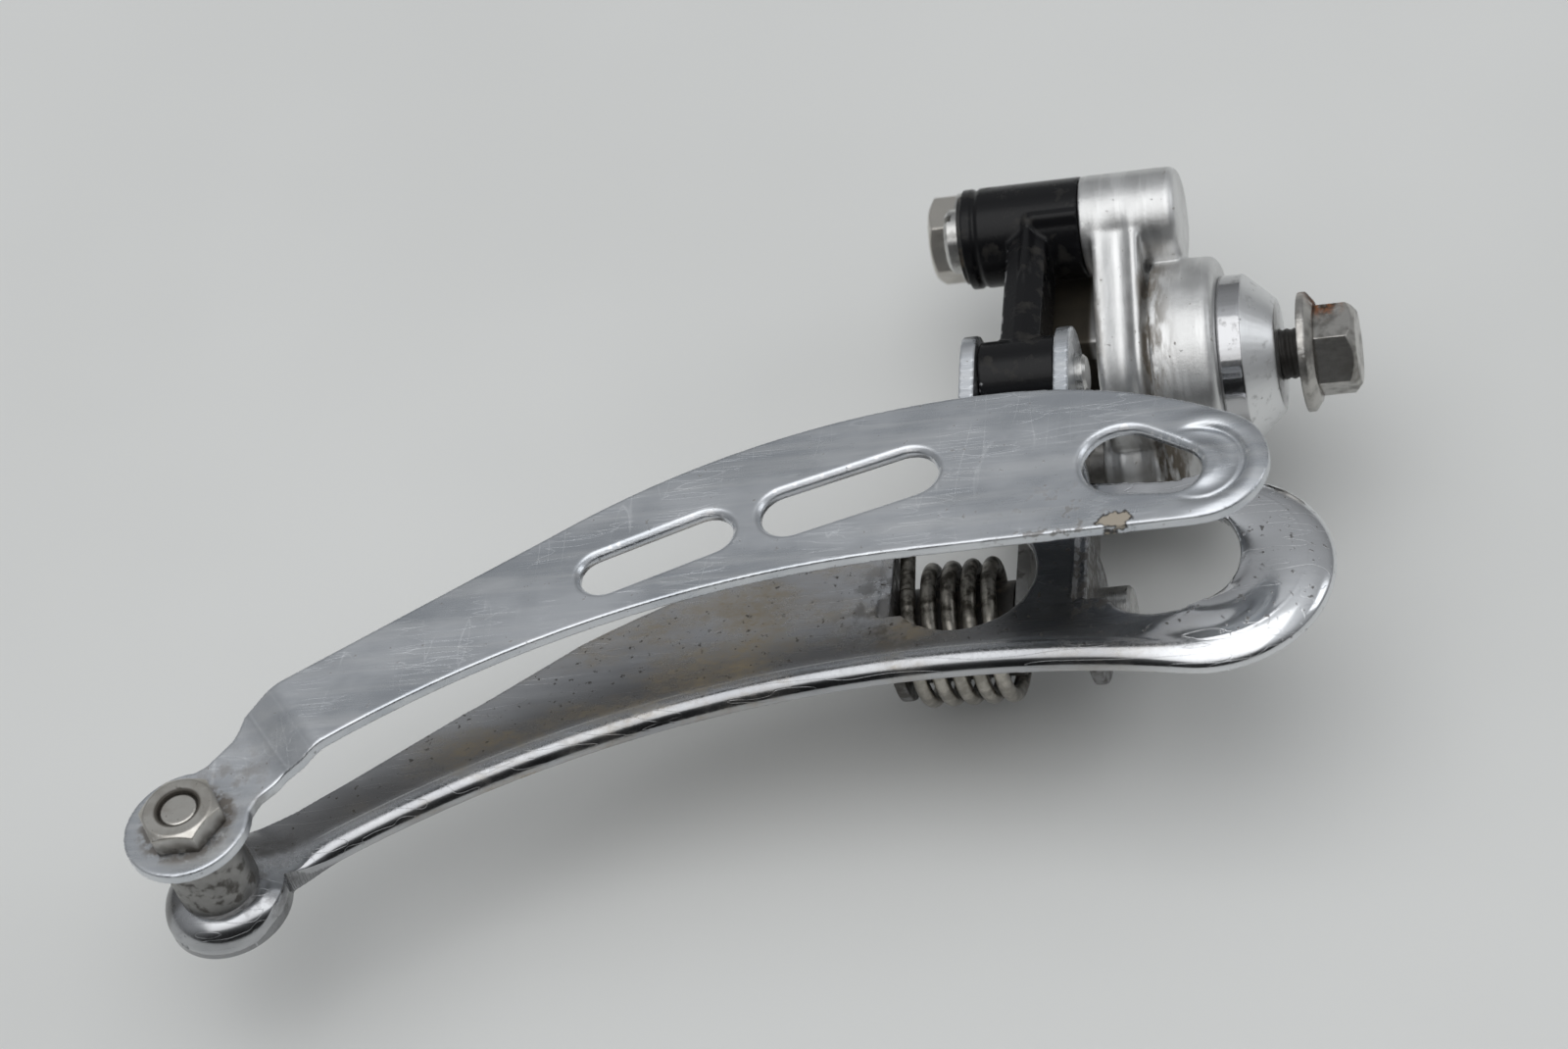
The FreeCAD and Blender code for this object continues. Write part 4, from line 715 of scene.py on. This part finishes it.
# voxel, softening and reshaping of the small pieces
FINE_HARDWARE = {
    "mount_bolt": (0.10, 1, shape_mount_bolt),
    "mount_washer": (0.12, 2, None),
    "mount_collar": (0.14, 1, None),
    "cage_tail_nut": (0.09, 1, None),
    "cage_tail_bolt": (0.10, 1, shape_tail_bolt),
    "cage_spacer": (0.14, 2, None),
    "cable_anchor_bolt": (0.11, 1, None),
    "cable_anchor_washer": (0.12, 2, None),
}
for node, (voxel, softening, reshape) in FINE_HARDWARE.items():
    fine_copy(node, voxel, softening, reshape)

for node, thing in frame["nodes"].items():
    if not thing.hide_render:
        thing.data.materials.clear()
        thing.data.materials.append(FINISHES[NODE_SLOT[node]])


# --- table, light and camera -----------------------------------------------------------

# The part lies on its seat-tube side, propped on the tail bolt and the body.
TABLE_UP = Vector((0.105, -0.985, -0.14)).normalized()
lowest = min(TABLE_UP.dot(vertex.co) for thing in frame["nodes"].values() for vertex in thing.data.vertices)

VIEW_AZIMUTH, VIEW_ELEVATION, VIEW_ROLL = (math.radians(angle) for angle in (18.33, -41.88, 6.86))
VIEW_TARGET = Vector((-45.7, -10.0, -25.7)) * MM
VIEW_DISTANCE = 379.3 * MM
back = Vector((math.sin(VIEW_AZIMUTH) * math.cos(VIEW_ELEVATION),
               -math.cos(VIEW_AZIMUTH) * math.cos(VIEW_ELEVATION), math.sin(VIEW_ELEVATION)))
level = Vector((math.cos(VIEW_AZIMUTH), math.sin(VIEW_AZIMUTH), 0))
right = Matrix.Rotation(VIEW_ROLL, 3, back) @ level
above = back.cross(right)

camera = bpy.data.objects.new("camera", bpy.data.cameras.new("camera"))
scene.collection.objects.link(camera)
camera.data.lens = 91.9
camera.data.sensor_width = 36.0
camera.data.clip_start = 0.01
camera.data.clip_end = 10.0
camera.matrix_world = Matrix((
    (right.x, above.x, back.x, 0), (right.y, above.y, back.y, 0), (right.z, above.z, back.z, 0),
    (0, 0, 0, 1)))
camera.location = VIEW_TARGET + back * VIEW_DISTANCE
focus = bpy.data.objects.new("focus", None)
focus.location = VIEW_TARGET
scene.collection.objects.link(focus)
camera.data.dof.use_dof = True
camera.data.dof.focus_object = focus
camera.data.dof.aperture_fstop = 25.0
scene.camera = camera

# axes of the table as the camera sees it
table_right = (right - TABLE_UP * TABLE_UP.dot(right)).normalized()
table_away = TABLE_UP.cross(table_right)


def board(name, centre, half_width, facing, upward):
    """Flat square sheet facing a direction."""
    side = upward.cross(facing).normalized()
    mesh = bpy.data.meshes.new(name)
    corners = [centre + side * half_width * a + upward * half_width * b
               for a, b in ((-1, -1), (1, -1), (1, 1), (-1, 1))]
    mesh.from_pydata([tuple(corner) for corner in corners], [], [(0, 1, 2, 3)])
    thing = bpy.data.objects.new(name, mesh)
    scene.collection.objects.link(thing)
    return thing


table = board("table", TABLE_UP * lowest + VIEW_TARGET - TABLE_UP * TABLE_UP.dot(VIEW_TARGET), 1.5, TABLE_UP,
              table_away)
table.data.materials.append(table_top())


def softbox(name, direction, distance, size, power, tint=(1, 1, 1)):
    """Square area light aimed at the middle of the part; direction is (right, away, up)."""
    towards = (table_right * direction[0] + table_away * direction[1] + TABLE_UP * direction[2]).normalized()
    lamp = bpy.data.lights.new(name, "AREA")
    lamp.shape = "SQUARE"
    lamp.size = size
    lamp.energy = power
    lamp.color = tint
    thing = bpy.data.objects.new(name, lamp)
    scene.collection.objects.link(thing)
    thing.location = VIEW_TARGET + towards * distance
    thing.rotation_euler = towards.to_track_quat("Z", "Y").to_euler()
    return thing


softbox("key", (-0.12, -0.10, 1.0), 1.0, 1.2, 3.7, (1.0, 0.995, 0.985))
softbox("window", (0.95, 0.25, 0.55), 1.2, 0.45, 0.9, (0.95, 0.975, 1.0))


BACKDROP = 0.62


def room_light():
    """Surroundings: pale overhead, dimmer near the table's edge, dark where the viewer stands."""
    world = bpy.data.worlds.new("room")
    scene.world = world
    world.use_nodes = True
    tree = world.node_tree
    tree.nodes.clear()
    coordinates = tree.nodes.new("ShaderNodeTexCoord")

    def along(direction, low, high, first, last):
        dot = tree.nodes.new("ShaderNodeVectorMath")
        dot.operation = "DOT_PRODUCT"
        dot.inputs[1].default_value = direction
        tree.links.new(coordinates.outputs["Generated"], dot.inputs[0])
        step = tree.nodes.new("ShaderNodeMapRange")
        step.interpolation_type = "SMOOTHSTEP"
        tree.links.new(dot.outputs["Value"], step.inputs["Value"])
        for name, value in zip(("From Min", "From Max", "To Min", "To Max"), (low, high, first, last)):
            step.inputs[name].default_value = value
        return step.outputs["Result"]

    walls = along(TABLE_UP, -0.1, 0.6, 0.20, 0.38)
    ceiling = along(TABLE_UP, 0.6, 1.0, 0.0, 0.50)
    viewer = along(table_away, -0.85, -0.15, 0.06, 1.0)
    height = tree.nodes.new("ShaderNodeMath")
    tree.links.new(walls, height.inputs[0])
    tree.links.new(ceiling, height.inputs[1])
    product = tree.nodes.new("ShaderNodeMath")
    product.operation = "MULTIPLY"
    tree.links.new(height.outputs[0], product.inputs[0])
    tree.links.new(viewer, product.inputs[1])
    # where the view runs past the table it meets a plain pale backdrop
    path = tree.nodes.new("ShaderNodeLightPath")
    strength = tree.nodes.new("ShaderNodeMix")
    tree.links.new(path.outputs["Is Camera Ray"], strength.inputs["Factor"])
    tree.links.new(product.outputs[0], strength.inputs["A"])
    strength.inputs["B"].default_value = BACKDROP
    background = tree.nodes.new("ShaderNodeBackground")
    background.inputs["Color"].default_value = (0.95, 0.975, 1.0, 1.0)
    tree.links.new(strength.outputs["Result"], background.inputs["Strength"])
    output = tree.nodes.new("ShaderNodeOutputWorld")
    tree.links.new(background.outputs["Background"], output.inputs["Surface"])


room_light()
scene.view_settings.view_transform = "Standard"
